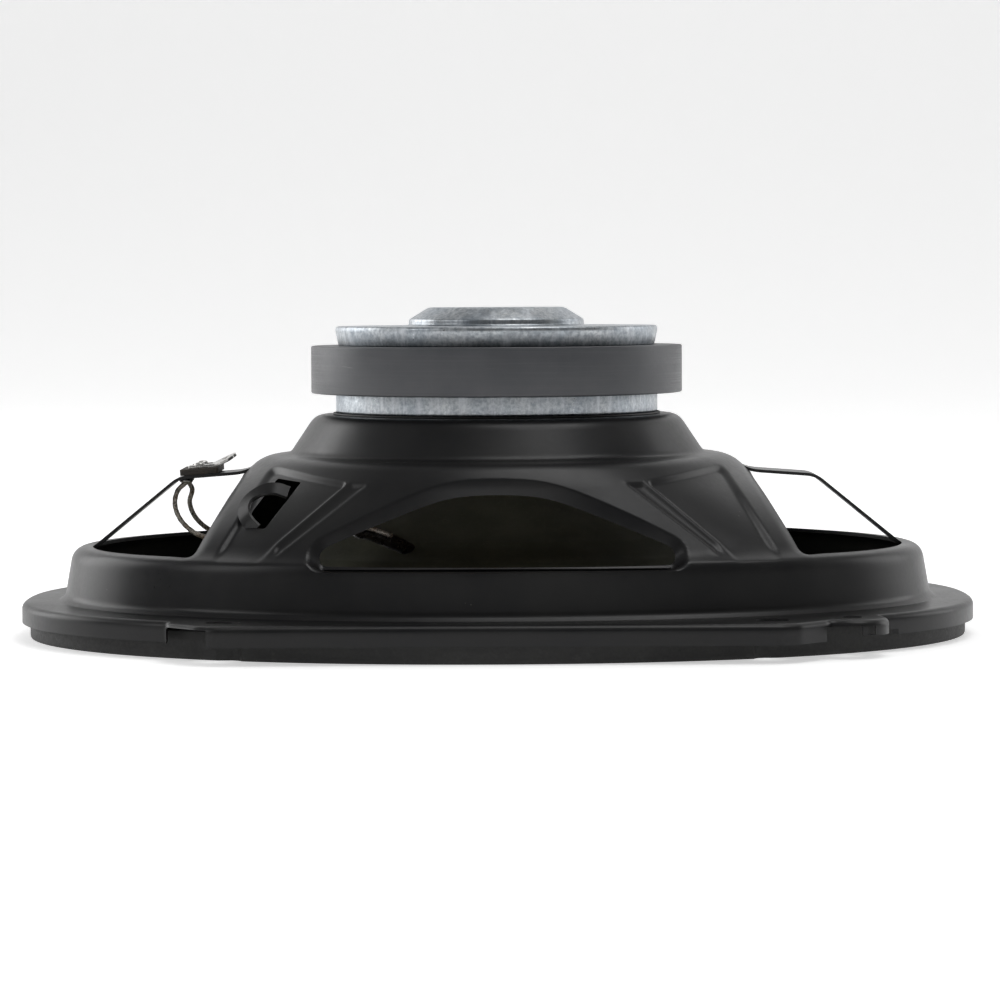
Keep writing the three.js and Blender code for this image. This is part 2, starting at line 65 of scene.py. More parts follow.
def size(node):
    """Lowest and highest corner of a CAD node in millimetres."""
    low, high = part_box(node)
    return np.array(low) / MM, np.array(high) / MM


BASKET_LOW, BASKET_HIGH = size("basket")
FLANGE_A = BASKET_HIGH[0]
FLANGE_SIDE = BASKET_HIGH[1]
LIP_BOTTOM = BASKET_LOW[2]
CUP_TOP = size("seat_ring")[0][2] - 0.05
FLANGE_REAR = 9.0
SHEET = 0.9
FLANGE_B, FLANGE_POWER = 81.5, 2.35
STRAIGHT = 66.0
CHAMFER = (76.0, 73.0)
EAR_X, EAR_Y, EAR_R = 81.8, 65.0, 8.6
RING_POWER = 2.12
CUP_HOLE_R = 17.5
END_STRUT_HALF = 7.0
STRIP_SHEET = 0.75

# ---------------------------------------------------------------- camera, set before anything else is made

EYE_HEIGHT, EYE_DISTANCE, AIM_HEIGHT = 0.083, 0.870, 0.0327
camera_data = bpy.data.cameras.new("camera")
camera_data.lens = 126.0
camera_data.sensor_width = 36.0
camera = bpy.data.objects.new("camera", camera_data)
bpy.context.scene.collection.objects.link(camera)
camera_side = 0.0007
camera.location = (camera_side, -EYE_DISTANCE, EYE_HEIGHT)
pitch = math.atan2(EYE_HEIGHT - AIM_HEIGHT, EYE_DISTANCE)
roll = math.radians(0.28)
camera.matrix_world = (
    Matrix.Translation(camera.location)
    @ Matrix.Rotation(math.pi / 2 - pitch, 4, "X")
    @ Matrix.Rotation(-roll, 4, "Z")
)
bpy.context.scene.camera = camera

# ---------------------------------------------------------------- mesh helpers


def mesh_object(name, verts, faces, smooth_angle=38.0):
    """A mesh object from points in millimetres, smooth apart from edges sharper than smooth_angle."""
    mesh = bpy.data.meshes.new(name)
    mesh.from_pydata((np.asarray(verts, float) * MM).tolist(), [], faces)
    mesh.validate()
    obj = bpy.data.objects.new(name, mesh)
    bpy.context.scene.collection.objects.link(obj)
    finish_normals(obj, smooth_angle)
    return obj


def finish_normals(obj, smooth_angle=38.0):
    """Turns all faces outwards and marks the sharp edges."""
    work = bmesh.new()
    work.from_mesh(obj.data)
    bmesh.ops.recalc_face_normals(work, faces=work.faces)
    work.to_mesh(obj.data)
    work.free()
    obj.data.shade_smooth()
    obj.data.set_sharp_from_angle(angle=math.radians(smooth_angle))


def loop_faces(rows, cols, close_rows=False):
    """Quads of a grid whose columns go round and whose rows may close too."""
    faces = []
    last = rows if close_rows else rows - 1
    for r in range(last):
        a = r * cols
        b = ((r + 1) % rows) * cols
        for c in range(cols):
            d = (c + 1) % cols
            faces.append((a + c, a + d, b + d, b + c))
    return faces


def fillet(points, cuts, steps=6):
    """A polyline with each corner replaced by a smooth curve that starts its cut before the corner."""
    points = [np.array(p, float) for p in points]
    out = [points[0]]
    for i in range(1, len(points) - 1):
        p, cut = points[i], cuts[i]
        if cut <= 0:
            out.append(p)
            continue
        to_last, to_next = points[i - 1] - p, points[i + 1] - p
        d1 = min(cut, 0.49 * np.linalg.norm(to_last))
        d2 = min(cut, 0.49 * np.linalg.norm(to_next))
        a = p + to_last / np.linalg.norm(to_last) * d1
        b = p + to_next / np.linalg.norm(to_next) * d2
        for t in np.linspace(0, 1, steps + 1):
            out.append((1 - t) ** 2 * a + 2 * t * (1 - t) * p + t * t * b)
    out.append(points[-1])
    return np.array(out)


def resample(points, step):
    """The polyline with extra points, so that none are further apart than step. Its own points are kept."""
    out = [points[0]]
    for a, b in zip(points[:-1], points[1:]):
        n = max(1, math.ceil(np.linalg.norm((b - a)[:3]) / step))
        for k in range(1, n + 1):
            out.append(a + (b - a) * k / n)
    return np.array(out)


def lathe(name, profile, segments=160, smooth_angle=38.0):
    """A solid of revolution about Z. The profile closes on itself, or starts and ends on the axis."""
    profile = np.asarray(profile, float)
    on_axis = profile[0][0] < 1e-6
    angles = np.linspace(0, TURN, segments, endpoint=False)
    ring = profile[1:-1] if on_axis else profile
    x = ring[:, 0][:, None] * np.cos(angles)
    y = ring[:, 0][:, None] * np.sin(angles)
    z = np.repeat(ring[:, 1][:, None], segments, axis=1)
    verts = np.stack([x, y, z], axis=-1).reshape(-1, 3)
    faces = loop_faces(len(ring), segments, close_rows=not on_axis)
    if on_axis:
        first, last = len(verts), len(verts) + 1
        verts = np.vstack([verts, [[0, 0, profile[0][1]], [0, 0, profile[-1][1]]]])
        base = (len(ring) - 1) * segments
        for c in range(segments):
            d = (c + 1) % segments
            faces.append((first, d, c))
            faces.append((last, base + c, base + d))
    return mesh_object(name, verts, faces, smooth_angle)


def ring_section(inner, outer, low, high):
    """The square section of a ring between two radii and two heights."""
    return [(inner, low), (outer, low), (outer, high), (inner, high)]


def rounded_lathe(name, points, cuts, segments=160, steps=4):
    """A lathe whose profile corners are rounded."""
    if points[0][0] < 1e-6:
        return lathe(name, fillet(points, cuts, steps), segments)
    n = len(points)
    ring = [points[-1], *points, points[0]]
    full = []
    for i in range(n):
        corner = fillet([ring[i], ring[i + 1], ring[i + 2]], [0, cuts[i], 0], steps)
        full.extend(corner[1:-1])
    return lathe(name, full, segments)


def superellipse(a, b, power, t):
    """Points of a superellipse at parameter t."""
    c, s = np.cos(t), np.sin(t)
    return a * np.sign(c) * np.abs(c) ** (2 / power), b * np.sign(s) * np.abs(s) ** (2 / power)


def oval_loft(name, stations, segments=200, power=2.05):
    """A closed skin through stations [a, b, z] that closes on itself."""
    t = np.linspace(0, TURN, segments, endpoint=False)
    verts = []
    for a, b, z in stations:
        x, y = superellipse(a, b, power, t)
        verts.append(np.stack([x, y, np.full(segments, z)], axis=1))
    return mesh_object(name, np.vstack(verts), loop_faces(len(stations), segments, close_rows=True))


def prism(name, outline, low, high, axis="Z"):
    """An outline extruded along Z, or, for axis Y, an outline in X and Z extruded along Y."""
    n = len(outline)
    flat = np.asarray(outline, float)
    if axis == "Z":
        bottom = np.column_stack([flat, np.full(n, low)])
        top = np.column_stack([flat, np.full(n, high)])
    else:
        bottom = np.column_stack([flat[:, 0], np.full(n, low), flat[:, 1]])
        top = np.column_stack([flat[:, 0], np.full(n, high), flat[:, 1]])
    faces = [tuple(range(n)), tuple(range(2 * n - 1, n - 1, -1))]
    faces += [(i, (i + 1) % n, n + (i + 1) % n, n + i) for i in range(n)]
    return mesh_object(name, np.vstack([bottom, top]), faces)


def rounded_outline(points, radius, steps=5):
    """A closed outline with rounded corners. radius is one number, or one for each point."""
    n = len(points)
    radii = [radius] * n if np.isscalar(radius) else radius
    out = []
    for i in range(n):
        corner = fillet([points[i - 1], points[i], points[(i + 1) % n]], [0, radii[i], 0], steps)
        out.extend(corner[1:-1])
    return np.array(out)


def boolean(obj, cutter, operation):
    """Cuts or joins two solids and removes the second."""
    modifier = obj.modifiers.new("cut", "BOOLEAN")
    modifier.operation = operation
    modifier.object = cutter
    modifier.solver = "MANIFOLD"
    graph = bpy.context.evaluated_depsgraph_get()
    made = bpy.data.meshes.new_from_object(obj.evaluated_get(graph))
    obj.modifiers.remove(modifier)
    old = obj.data
    obj.data = made
    bpy.data.meshes.remove(old)
    bpy.data.objects.remove(cutter)


def bevel(obj, width, segments=2, angle=35.0):
    """Rounds the sharp edges of a finished mesh, width in millimetres."""
    modifier = obj.modifiers.new("bevel", "BEVEL")
    modifier.width = width * MM
    modifier.segments = segments
    modifier.limit_method = "ANGLE"
    modifier.angle_limit = math.radians(angle)
    modifier.harden_normals = False
    graph = bpy.context.evaluated_depsgraph_get()
    made = bpy.data.meshes.new_from_object(obj.evaluated_get(graph))
    obj.modifiers.remove(modifier)
    obj.data = made
    finish_normals(obj, 50)


def box_solid(name, low, high):
    """A box between two corners in millimetres, used as a cutter or a blank for bevelling."""
    x0, y0, z0 = low
    x1, y1, z1 = high
    return prism(name, [(x0, y0), (x1, y0), (x1, y1), (x0, y1)], z0, z1)


def distance_to(points, outline):
    """Signed distance of each 2D point to a closed outline: negative inside."""
    points = np.asarray(points, float)
    best = np.full(len(points), 1e9)
    inside = np.zeros(len(points), bool)
    ends = np.roll(outline, -1, axis=0)
    for a, b in zip(outline, ends):
        ab = b - a
        ap = points - a
        t = np.clip((ap @ ab) / max(ab @ ab, 1e-12), 0, 1)
        best = np.minimum(best, np.linalg.norm(ap - t[:, None] * ab, axis=1))
        crosses = (a[1] > points[:, 1]) != (b[1] > points[:, 1])
        with np.errstate(divide="ignore", invalid="ignore"):
            where = a[0] + (points[:, 1] - a[1]) * ab[0] / ab[1]
        inside ^= crosses & (points[:, 0] < where)
    return np.where(inside, -best, best)


def smoothstep(low, high, x):
    t = np.clip((x - low) / (high - low), 0, 1)
    return t * t * (3 - 2 * t)


# ---------------------------------------------------------------- materials


class Maker:
    """Builds one procedural material."""

    def __init__(self, name, color, roughness, metallic=0.0):
        self.material = bpy.data.materials.new(name)
        self.material.use_nodes = True
        self.tree = self.material.node_tree
        self.shader = self.tree.nodes["Principled BSDF"]
        self.shader.inputs["Base Color"].default_value = (*color, 1)
        self.shader.inputs["Roughness"].default_value = roughness
        self.shader.inputs["Metallic"].default_value = metallic
        self.coords = self.tree.nodes.new("ShaderNodeTexCoord").outputs["Object"]
        self.normal = None

    def set(self, **values):
        for key, value in values.items():
            self.shader.inputs[key.replace("_", " ")].default_value = value
        return self

    def mapped(self, scale):
        node = self.tree.nodes.new("ShaderNodeMapping")
        node.inputs["Scale"].default_value = scale if hasattr(scale, "__len__") else (scale,) * 3
        self.tree.links.new(self.coords, node.inputs["Vector"])
        return node.outputs["Vector"]

    def noise(self, scale, detail=4.0, rough=0.55, distortion=0.0):
        node = self.tree.nodes.new("ShaderNodeTexNoise")
        node.inputs["Scale"].default_value = 1.0
        node.inputs["Detail"].default_value = detail
        node.inputs["Roughness"].default_value = rough
        node.inputs["Distortion"].default_value = distortion
        self.tree.links.new(self.mapped(scale), node.inputs["Vector"])
        return node.outputs["Fac"]

    def voronoi(self, scale, feature="F1"):
        node = self.tree.nodes.new("ShaderNodeTexVoronoi")
        node.feature = feature
        node.inputs["Scale"].default_value = 1.0
        self.tree.links.new(self.mapped(scale), node.inputs["Vector"])
        return node.outputs["Distance"]

    def wave(self, scale, axis="Z", kind="BANDS", distortion=0.0):
        node = self.tree.nodes.new("ShaderNodeTexWave")
        node.wave_type = kind
        if kind == "BANDS":
            node.bands_direction = axis
        else:
            node.rings_direction = axis
        node.inputs["Scale"].default_value = 1.0
        node.inputs["Distortion"].default_value = distortion
        self.tree.links.new(self.mapped(scale), node.inputs["Vector"])
        return node.outputs["Fac"]

    def span(self, value, low, high, to_low, to_high):
        """value, mapped from low..high to to_low..to_high."""
        node = self.tree.nodes.new("ShaderNodeMapRange")
        for key, number in (("From Min", low), ("From Max", high), ("To Min", to_low), ("To Max", to_high)):
            node.inputs[key].default_value = number
        self.tree.links.new(value, node.inputs["Value"])
        return node.outputs["Result"]

    def mix_color(self, factor, first, second):
        node = self.tree.nodes.new("ShaderNodeMix")
        node.data_type = "RGBA"
        self.tree.links.new(factor, node.inputs["Factor"])
        for socket, value in ((node.inputs[6], first), (node.inputs[7], second)):
            if isinstance(value, tuple):
                socket.default_value = (*value, 1)
            else:
                self.tree.links.new(value, socket)
        return node.outputs[2]

    def math(self, operation, first, second):
        node = self.tree.nodes.new("ShaderNodeMath")
        node.operation = operation
        for socket, value in zip(node.inputs, (first, second)):
            if isinstance(value, (int, float)):
                socket.default_value = value
            else:
                self.tree.links.new(value, socket)
        return node.outputs[0]

    def paint(self, color=None, roughness=None):
        if color is not None:
            self.tree.links.new(color, self.shader.inputs["Base Color"])
        if roughness is not None:
            self.tree.links.new(roughness, self.shader.inputs["Roughness"])
        return self

    def bump(self, height, depth, strength=1.0):
        """Adds a bump layer: height in 0..1 times depth in millimetres."""
        node = self.tree.nodes.new("ShaderNodeBump")
        node.inputs["Strength"].default_value = strength
        node.inputs["Distance"].default_value = depth * MM
        self.tree.links.new(height, node.inputs["Height"])
        if self.normal is not None:
            self.tree.links.new(self.normal, node.inputs["Normal"])
        self.normal = node.outputs["Normal"]
        self.tree.links.new(self.normal, self.shader.inputs["Normal"])
        return self


def black_paint():
    """Satin black stove paint on steel: faint orange peel, cloudy gloss and a few pale dust specks."""
    m = Maker("black_paint", (0.009, 0.009, 0.010), 0.36)
    cloud = m.noise(38, 5)
    fine = m.noise(900, 3)
    specks = m.span(m.voronoi(330), 0.02, 0.075, 1.0, 0.0)
    rare = m.span(m.noise(120, 2), 0.6, 0.72, 0.0, 1.0)
    dust = m.math("MULTIPLY", specks, rare)
    base = m.mix_color(m.span(cloud, 0.35, 0.7, 0, 1), (0.0075, 0.0075, 0.0085), (0.014, 0.0138, 0.0138))
    m.paint(color=m.mix_color(dust, base, (0.11, 0.105, 0.10)))
    blend = m.math("ADD", m.span(cloud, 0.3, 0.75, 0.29, 0.40), m.span(fine, 0.3, 0.7, -0.02, 0.03))
    m.paint(roughness=blend)
    m.bump(m.noise(420, 2), 0.012).bump(fine, 0.004)
    return m.set(Specular_IOR_Level=0.34).material


def zinc():
    """Bright zinc plating: bluish, mottled, with upright drawing streaks on the sides."""
    m = Maker("zinc_plate", (0.62, 0.66, 0.70), 0.3, 1.0)
    streak = m.noise((420, 420, 45), 6, 0.65)
    blotch = m.noise(90, 5, 0.6)
    spangle = m.noise(1100, 3, 0.7)
    tint = m.mix_color(m.span(blotch, 0.35, 0.68, 0, 1), (0.38, 0.42, 0.46), (0.60, 0.62, 0.63))
    tint = m.mix_color(m.span(spangle, 0.40, 0.62, 0, 0.6), tint, (0.22, 0.25, 0.29))
    m.paint(color=m.mix_color(m.span(streak, 0.50, 0.72, 0, 0.8), tint, (0.72, 0.75, 0.78)))
    rough = m.math("ADD", m.span(streak, 0.3, 0.7, 0.28, 0.52), m.span(spangle, 0.3, 0.7, -0.08, 0.10))
    m.paint(roughness=rough)
    m.bump(streak, 0.07).bump(spangle, 0.03)
    return m.material


def ferrite():
    """Ground ferrite: dark grey, satin, with fine grinding lines round the ring and a few pale scratches."""
    m = Maker("ferrite", (0.075, 0.077, 0.084), 0.42)
    grind = m.noise((24, 24, 2600), 4, 0.6)
    cloud = m.noise(60, 4)
    grain = m.noise(1500, 3, 0.7)
    scratch = m.span(m.noise((70, 70, 1500), 2, 0.4, 0.6), 0.745, 0.79, 0, 0.8)
    base = m.mix_color(m.span(cloud, 0.3, 0.7, 0, 1), (0.040, 0.043, 0.050), (0.064, 0.066, 0.073))
    base = m.mix_color(m.span(grind, 0.5, 0.75, 0, 0.4), base, (0.10, 0.10, 0.108))
    m.paint(color=m.mix_color(scratch, base, (0.28, 0.28, 0.28)))
    m.paint(roughness=m.math("ADD", m.span(grind, 0.3, 0.7, 0.34, 0.5), m.span(grain, 0.3, 0.7, -0.04, 0.05)))
    m.bump(grain, 0.01).bump(grind, 0.01)
    return m.set(Specular_IOR_Level=0.7).material


def black_plastic():
    """Moulded black plastic with a fine spark-eroded grain."""
    m = Maker("black_plastic", (0.011, 0.011, 0.012), 0.5)
    grain = m.noise(1900, 3, 0.7)
    cloud = m.noise(50, 4)
    m.paint(color=m.mix_color(m.span(cloud, 0.3, 0.7, 0, 1), (0.009, 0.009, 0.010), (0.017, 0.0168, 0.0165)))
    gloss = m.span(cloud, 0.3, 0.7, 0.42, 0.56)
    m.paint(roughness=m.math("ADD", gloss, m.span(grain, 0.3, 0.7, -0.05, 0.05)))
    m.bump(grain, 0.02)
    return m.material


def gasket_foam():
    """Black moulded gasket: matte, slightly dusty, with a faint mould ripple."""
    m = Maker("gasket", (0.012, 0.012, 0.012), 0.62)
    cloud = m.noise(70, 5)
    grain = m.noise(1300, 4, 0.75)
    dust = m.span(m.noise(260, 5, 0.7), 0.56, 0.74, 0, 0.5)
    base = m.mix_color(m.span(cloud, 0.3, 0.7, 0, 1), (0.009, 0.009, 0.009), (0.018, 0.018, 0.017))
    m.paint(color=m.mix_color(dust, base, (0.04, 0.038, 0.036)))
    m.paint(roughness=m.span(grain, 0.3, 0.7, 0.52, 0.72))
    m.bump(grain, 0.03)
    return m.material


def cone_paper():
    """Pressed black paper with an olive cast: felted fibres and soft mottling."""
    m = Maker("cone_paper", (0.035, 0.037, 0.025), 0.8)
    fibre = m.noise((700, 700, 350), 6, 0.75, 1.2)
    mottle = m.noise(110, 5)
    base = m.mix_color(m.span(mottle, 0.3, 0.7, 0, 1), (0.115, 0.118, 0.078), (0.165, 0.168, 0.118))
    m.paint(color=m.mix_color(m.span(fibre, 0.52, 0.75, 0, 0.6), base, (0.25, 0.25, 0.185)))
    m.paint(roughness=m.span(fibre, 0.3, 0.7, 0.68, 0.9))
    m.bump(fibre, 0.06).bump(mottle, 0.04)
    return m.set(Sheen_Weight=0.15).material


def rubber():
    """Matte butyl rubber with a little bloom."""
    m = Maker("rubber", (0.011, 0.011, 0.011), 0.6)
    bloom = m.noise(80, 5)
    grain = m.noise(1600, 3, 0.7)
    m.paint(color=m.mix_color(m.span(bloom, 0.4, 0.7, 0, 1), (0.009, 0.009, 0.009), (0.019, 0.019, 0.019)))
    m.paint(roughness=m.math("ADD", m.span(bloom, 0.3, 0.7, 0.5, 0.66), m.span(grain, 0.3, 0.7, -0.04, 0.04)))
    m.bump(grain, 0.015)
    return m.material


def woven(name, warm, dark, pitch, gloss=0.75):
    """Woven cloth: two crossed sets of threads."""
    m = Maker(name, warm, gloss)
    over = m.wave(1000 / pitch, "X", distortion=0.3)
    under = m.wave(1000 / pitch, "Y", distortion=0.3)
    weave = m.math("MULTIPLY", over, under)
    fuzz = m.noise(2400, 3, 0.7)
    cloud = m.noise(130, 4)
    base = m.mix_color(m.span(cloud, 0.3, 0.7, 0, 1), warm, tuple(c * 0.8 for c in warm))
    m.paint(color=m.mix_color(m.span(weave, 0, 0.5, 0.7, 0), base, dark))
    m.paint(roughness=m.span(fuzz, 0.3, 0.7, gloss - 0.08, gloss + 0.1))
    m.bump(weave, 0.08).bump(fuzz, 0.02)
    return m.set(Sheen_Weight=0.2).material


def copper():
    """Enamelled copper wire, wound turn on turn."""
    m = Maker("copper_wire", (0.62, 0.25, 0.10), 0.3, 1.0)
    turns = m.wave((1, 1, 1000 / 0.32 / 6.283 * 2), "Z")
    stain = m.noise(400, 4)
    m.paint(color=m.mix_color(m.span(stain, 0.3, 0.7, 0, 1), (0.56, 0.21, 0.08), (0.72, 0.34, 0.15)))
    m.paint(roughness=m.span(stain, 0.3, 0.7, 0.24, 0.4))
    m.bump(turns, 0.1)
    return m.material


def tinned():
    """Hot-tinned steel or brass: bright, slightly wavy, with dull patches."""
    m = Maker("tinned_steel", (0.66, 0.65, 0.63), 0.26, 1.0)
    wavy = m.noise(500, 4)
    dull = m.noise(1300, 4, 0.7)
    m.paint(color=m.mix_color(m.span(dull, 0.4, 0.7, 0, 1), (0.72, 0.71, 0.69), (0.50, 0.49, 0.47)))
    m.paint(roughness=m.span(dull, 0.3, 0.7, 0.2, 0.44))
    m.bump(wavy, 0.03)
    return m.material


def braid():
    """Tinsel braid: silvery copper foil over cotton, browned here and there."""
    m = Maker("tinsel_braid", (0.62, 0.57, 0.50), 0.42, 0.35)
    patch = m.noise(260, 5, 0.7)
    thread = m.noise(2200, 3, 0.7)
    base = m.mix_color(m.span(patch, 0.50, 0.70, 0, 1), (0.66, 0.61, 0.54), (0.34, 0.22, 0.13))
    m.paint(color=m.mix_color(m.span(thread, 0.38, 0.55, 0.9, 0), base, (0.08, 0.065, 0.05)))
    m.paint(roughness=m.span(thread, 0.3, 0.7, 0.3, 0.6))
    m.bump(thread, 0.10)
    return m.material


def fibre_board():
    """Dark brown vulcanised fibre with pressed flecks."""
    m = Maker("terminal_fibre", (0.05, 0.036, 0.027), 0.7)
    fleck = m.noise((900, 260, 900), 5, 0.7)
    m.paint(color=m.mix_color(m.span(fleck, 0.35, 0.7, 0, 1), (0.026, 0.022, 0.019), (0.075, 0.062, 0.050)))
    m.paint(roughness=m.span(fleck, 0.3, 0.7, 0.6, 0.82))
    m.bump(fleck, 0.04)
    return m.material


def film():
    """Amber polyimide film of the former."""
    m = Maker("former_film", (0.42, 0.22, 0.06), 0.32)
    cloud = m.noise(220, 4)
    m.paint(color=m.mix_color(m.span(cloud, 0.3, 0.7, 0, 1), (0.36, 0.18, 0.045), (0.5, 0.28, 0.08)))
    m.paint(roughness=m.span(cloud, 0.3, 0.7, 0.26, 0.4))
    m.bump(cloud, 0.02)
    return m.set(Coat_Weight=0.3).material


def glue():
    """Black contact adhesive: glossy, with shallow pits."""
    m = Maker("glue", (0.008, 0.008, 0.008), 0.28)
    pits = m.noise(800, 3)
    m.paint(color=m.mix_color(m.span(pits, 0.4, 0.7, 0, 1), (0.006, 0.006, 0.006), (0.02, 0.019, 0.018)))
    m.paint(roughness=m.span(pits, 0.3, 0.7, 0.2, 0.42))
    m.bump(pits, 0.06)
    return m.material


PAINT, ZINC, FERRITE, PLASTIC = black_paint(), zinc(), ferrite(), black_plastic()
GLUE = glue()
GASKET, PAPER, RUBBER, COPPER = gasket_foam(), cone_paper(), rubber(), copper()
TINNED, BRAID, FIBRE, FILM = tinned(), braid(), fibre_board(), film()
SPIDER_CLOTH = woven("spider_cloth", (0.33, 0.21, 0.085), (0.12, 0.07, 0.03), 0.7)
SILK = woven("silk", (0.022, 0.022, 0.026), (0.008, 0.008, 0.01), 0.28, 0.55)
FELT = woven("felt", (0.020, 0.020, 0.021), (0.008, 0.008, 0.008), 0.45, 0.85)


def install(obj, body, slot, material, *nodes):
    """Gives a piece its material, its body and the CAD nodes it stands for, which it hides. slot is not used.
    """
    obj.data.materials.clear()
    obj.data.materials.append(material)
    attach(obj, body)
    if nodes:
        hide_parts(*nodes)
    return obj


# ---------------------------------------------------------------- basket

# Corners of the outer skin's profile as [a, b, z, power], from the hole in the cup to the foot of the ring,
# with the distance at which each corner's rounding starts.
PROFILE = [
    ([CUP_HOLE_R, CUP_HOLE_R, CUP_TOP, 2.0], 0),
    ([45.0, 45.0, CUP_TOP, 2.0], 3.0),
    ([51.3, 51.3, 44.9, 2.0], 1.5),
    ([57.6, 57.6, 44.1, 2.0], 3.0),
    ([62.9, 61.0, 40.4, 2.0], 4.0),
    ([79.2, 65.7, 31.9, 2.06], 6.0),
    ([97.4, 69.8, 23.4, 2.1], 3.0),
    ([105.2, 71.6, 21.4, 2.12], 2.6),
    ([107.1, 72.6, 10.6, 2.12], 0.7),
    ([107.5, 73.0, 9.9, 2.12], 0.4),
    ([108.6, 74.1, FLANGE_REAR, 2.12], 0.8),
]

ARCH_OUTLINE = rounded_outline(
    [(-41.2, 21.0), (41.2, 21.0), (41.2, 24.8), (30.2, 29.5), (15.0, 35.6), (7.0, 37.3), (-7.0, 37.3),
     (-15.0, 35.6), (-30.2, 29.5), (-41.2, 24.8)],
    [2.0, 2.0, 3.0, 5.0, 7.0, 6.5, 6.5, 7.0, 5.0, 3.0], 6)


# The fold of the turned-in lip round the arch window: wide at the crown and thin at the foot.
ARCH_FOLD = rounded_outline(
    [(-44.0, 20.1), (44.0, 20.1), (44.0, 26.2), (31.4, 32.6), (16.6, 39.0), (7.6, 41.1), (-7.6, 41.1),
     (-16.6, 39.0), (-31.4, 32.6), (-44.0, 26.2)],
    [3.0, 3.0, 3.6, 6.0, 8.0, 7.0, 7.0, 8.0, 6.0, 3.6], 6)

# Pressed-in panel of each wide strut, and the valley beside it, in X and height.
PANEL = rounded_outline(
    [(35.4, 39.7), (54.4, 42.4), (66.4, 21.6), (56.2, 21.0), (52.3, 25.6)], [1.2, 2.2, 1.5, 2.0, 1.2], 5)
VALLEY = rounded_outline([(30.6, 39.4), (34.2, 39.4), (51.5, 25.6), (51.4, 23.6)], [0.6, 0.4, 0.6, 0.6], 3)


def end_window_outline():
    """Plan outline of the window at the +X end, anticlockwise."""
    t = np.linspace(-0.72, 0.72, 41)
    x, y = superellipse(100.3, 69.3, 2.1, t)
    rim = [(px, py) for px, py in zip(x, y) if px > 75]
    points = [(66.4, 35.5), (62.6, 17.0), (62.6, -17.0), (66.4, -35.5), (71.8, -50.6), *rim, (71.8, 50.6)]
    radii = [12, 8, 8, 12, 3.5] + [0.5] * len(rim) + [3.5]
    return rounded_outline(points, radii, 6)


END_WINDOW = end_window_outline()


def flange_radius(angle):
    """Distance from the axis to the flange's outline in each direction: oval, sides, corners and two ears."""
    c, s = np.cos(angle), np.sin(angle)
    total = (np.abs(c) / FLANGE_A) ** FLANGE_POWER + (np.abs(s) / FLANGE_B) ** FLANGE_POWER
    oval = 1 / total ** (1 / FLANGE_POWER)
    reach = oval.copy()
    corner = [(STRAIGHT - 1.5, FLANGE_SIDE), (STRAIGHT + 2.6, FLANGE_SIDE - 1.8), CHAMFER, (CHAMFER[0], 0)]
    side = [(0, FLANGE_SIDE), *corner]
    for sx in (1, -1):
        for sy in (1, -1):
            for (x0, y0), (x1, y1) in zip(side[:-1], side[1:]):
                ax, ay, bx, by = sx * x0, sy * y0, sx * x1, sy * y1
                # where the ray crosses the segment
                dx, dy = bx - ax, by - ay
                det = c * dy - s * dx
                with np.errstate(divide="ignore", invalid="ignore"):
                    r = (ax * dy - ay * dx) / det
                    k = (ax * s - ay * c) / det
                hit = (np.abs(det) > 1e-9) & (r > 0) & (k >= -1e-6) & (k <= 1 + 1e-6)
                reach = np.where(hit, np.maximum(reach, np.where(hit, r, 0)), reach)
    for sign in (1, -1):
        ex, ey = sign * EAR_X, -sign * EAR_Y
        along = c * ex + s * ey
        off = ex * ex + ey * ey - along * along
        hit = (along > 0) & (off < EAR_R ** 2)
        reach = np.where(hit, np.maximum(reach, along + np.sqrt(np.maximum(EAR_R ** 2 - off, 0))), reach)
    return reach


def soft_outline(columns_angle):
    """The flange outline in the given directions, with its corners eased."""
    dense = np.linspace(0, TURN, 7200, endpoint=False)
    r = flange_radius(dense)
    half = 14
    weights = np.hanning(2 * half + 3)[1:-1]
    weights /= weights.sum()
    wrapped = np.concatenate([r[-half:], r, r[:half]])
    eased = np.convolve(wrapped, weights, "valid")
    wrapped_angle = np.mod(columns_angle, TURN)
    return np.interp(wrapped_angle, np.append(dense, TURN), np.append(eased, eased[0]))


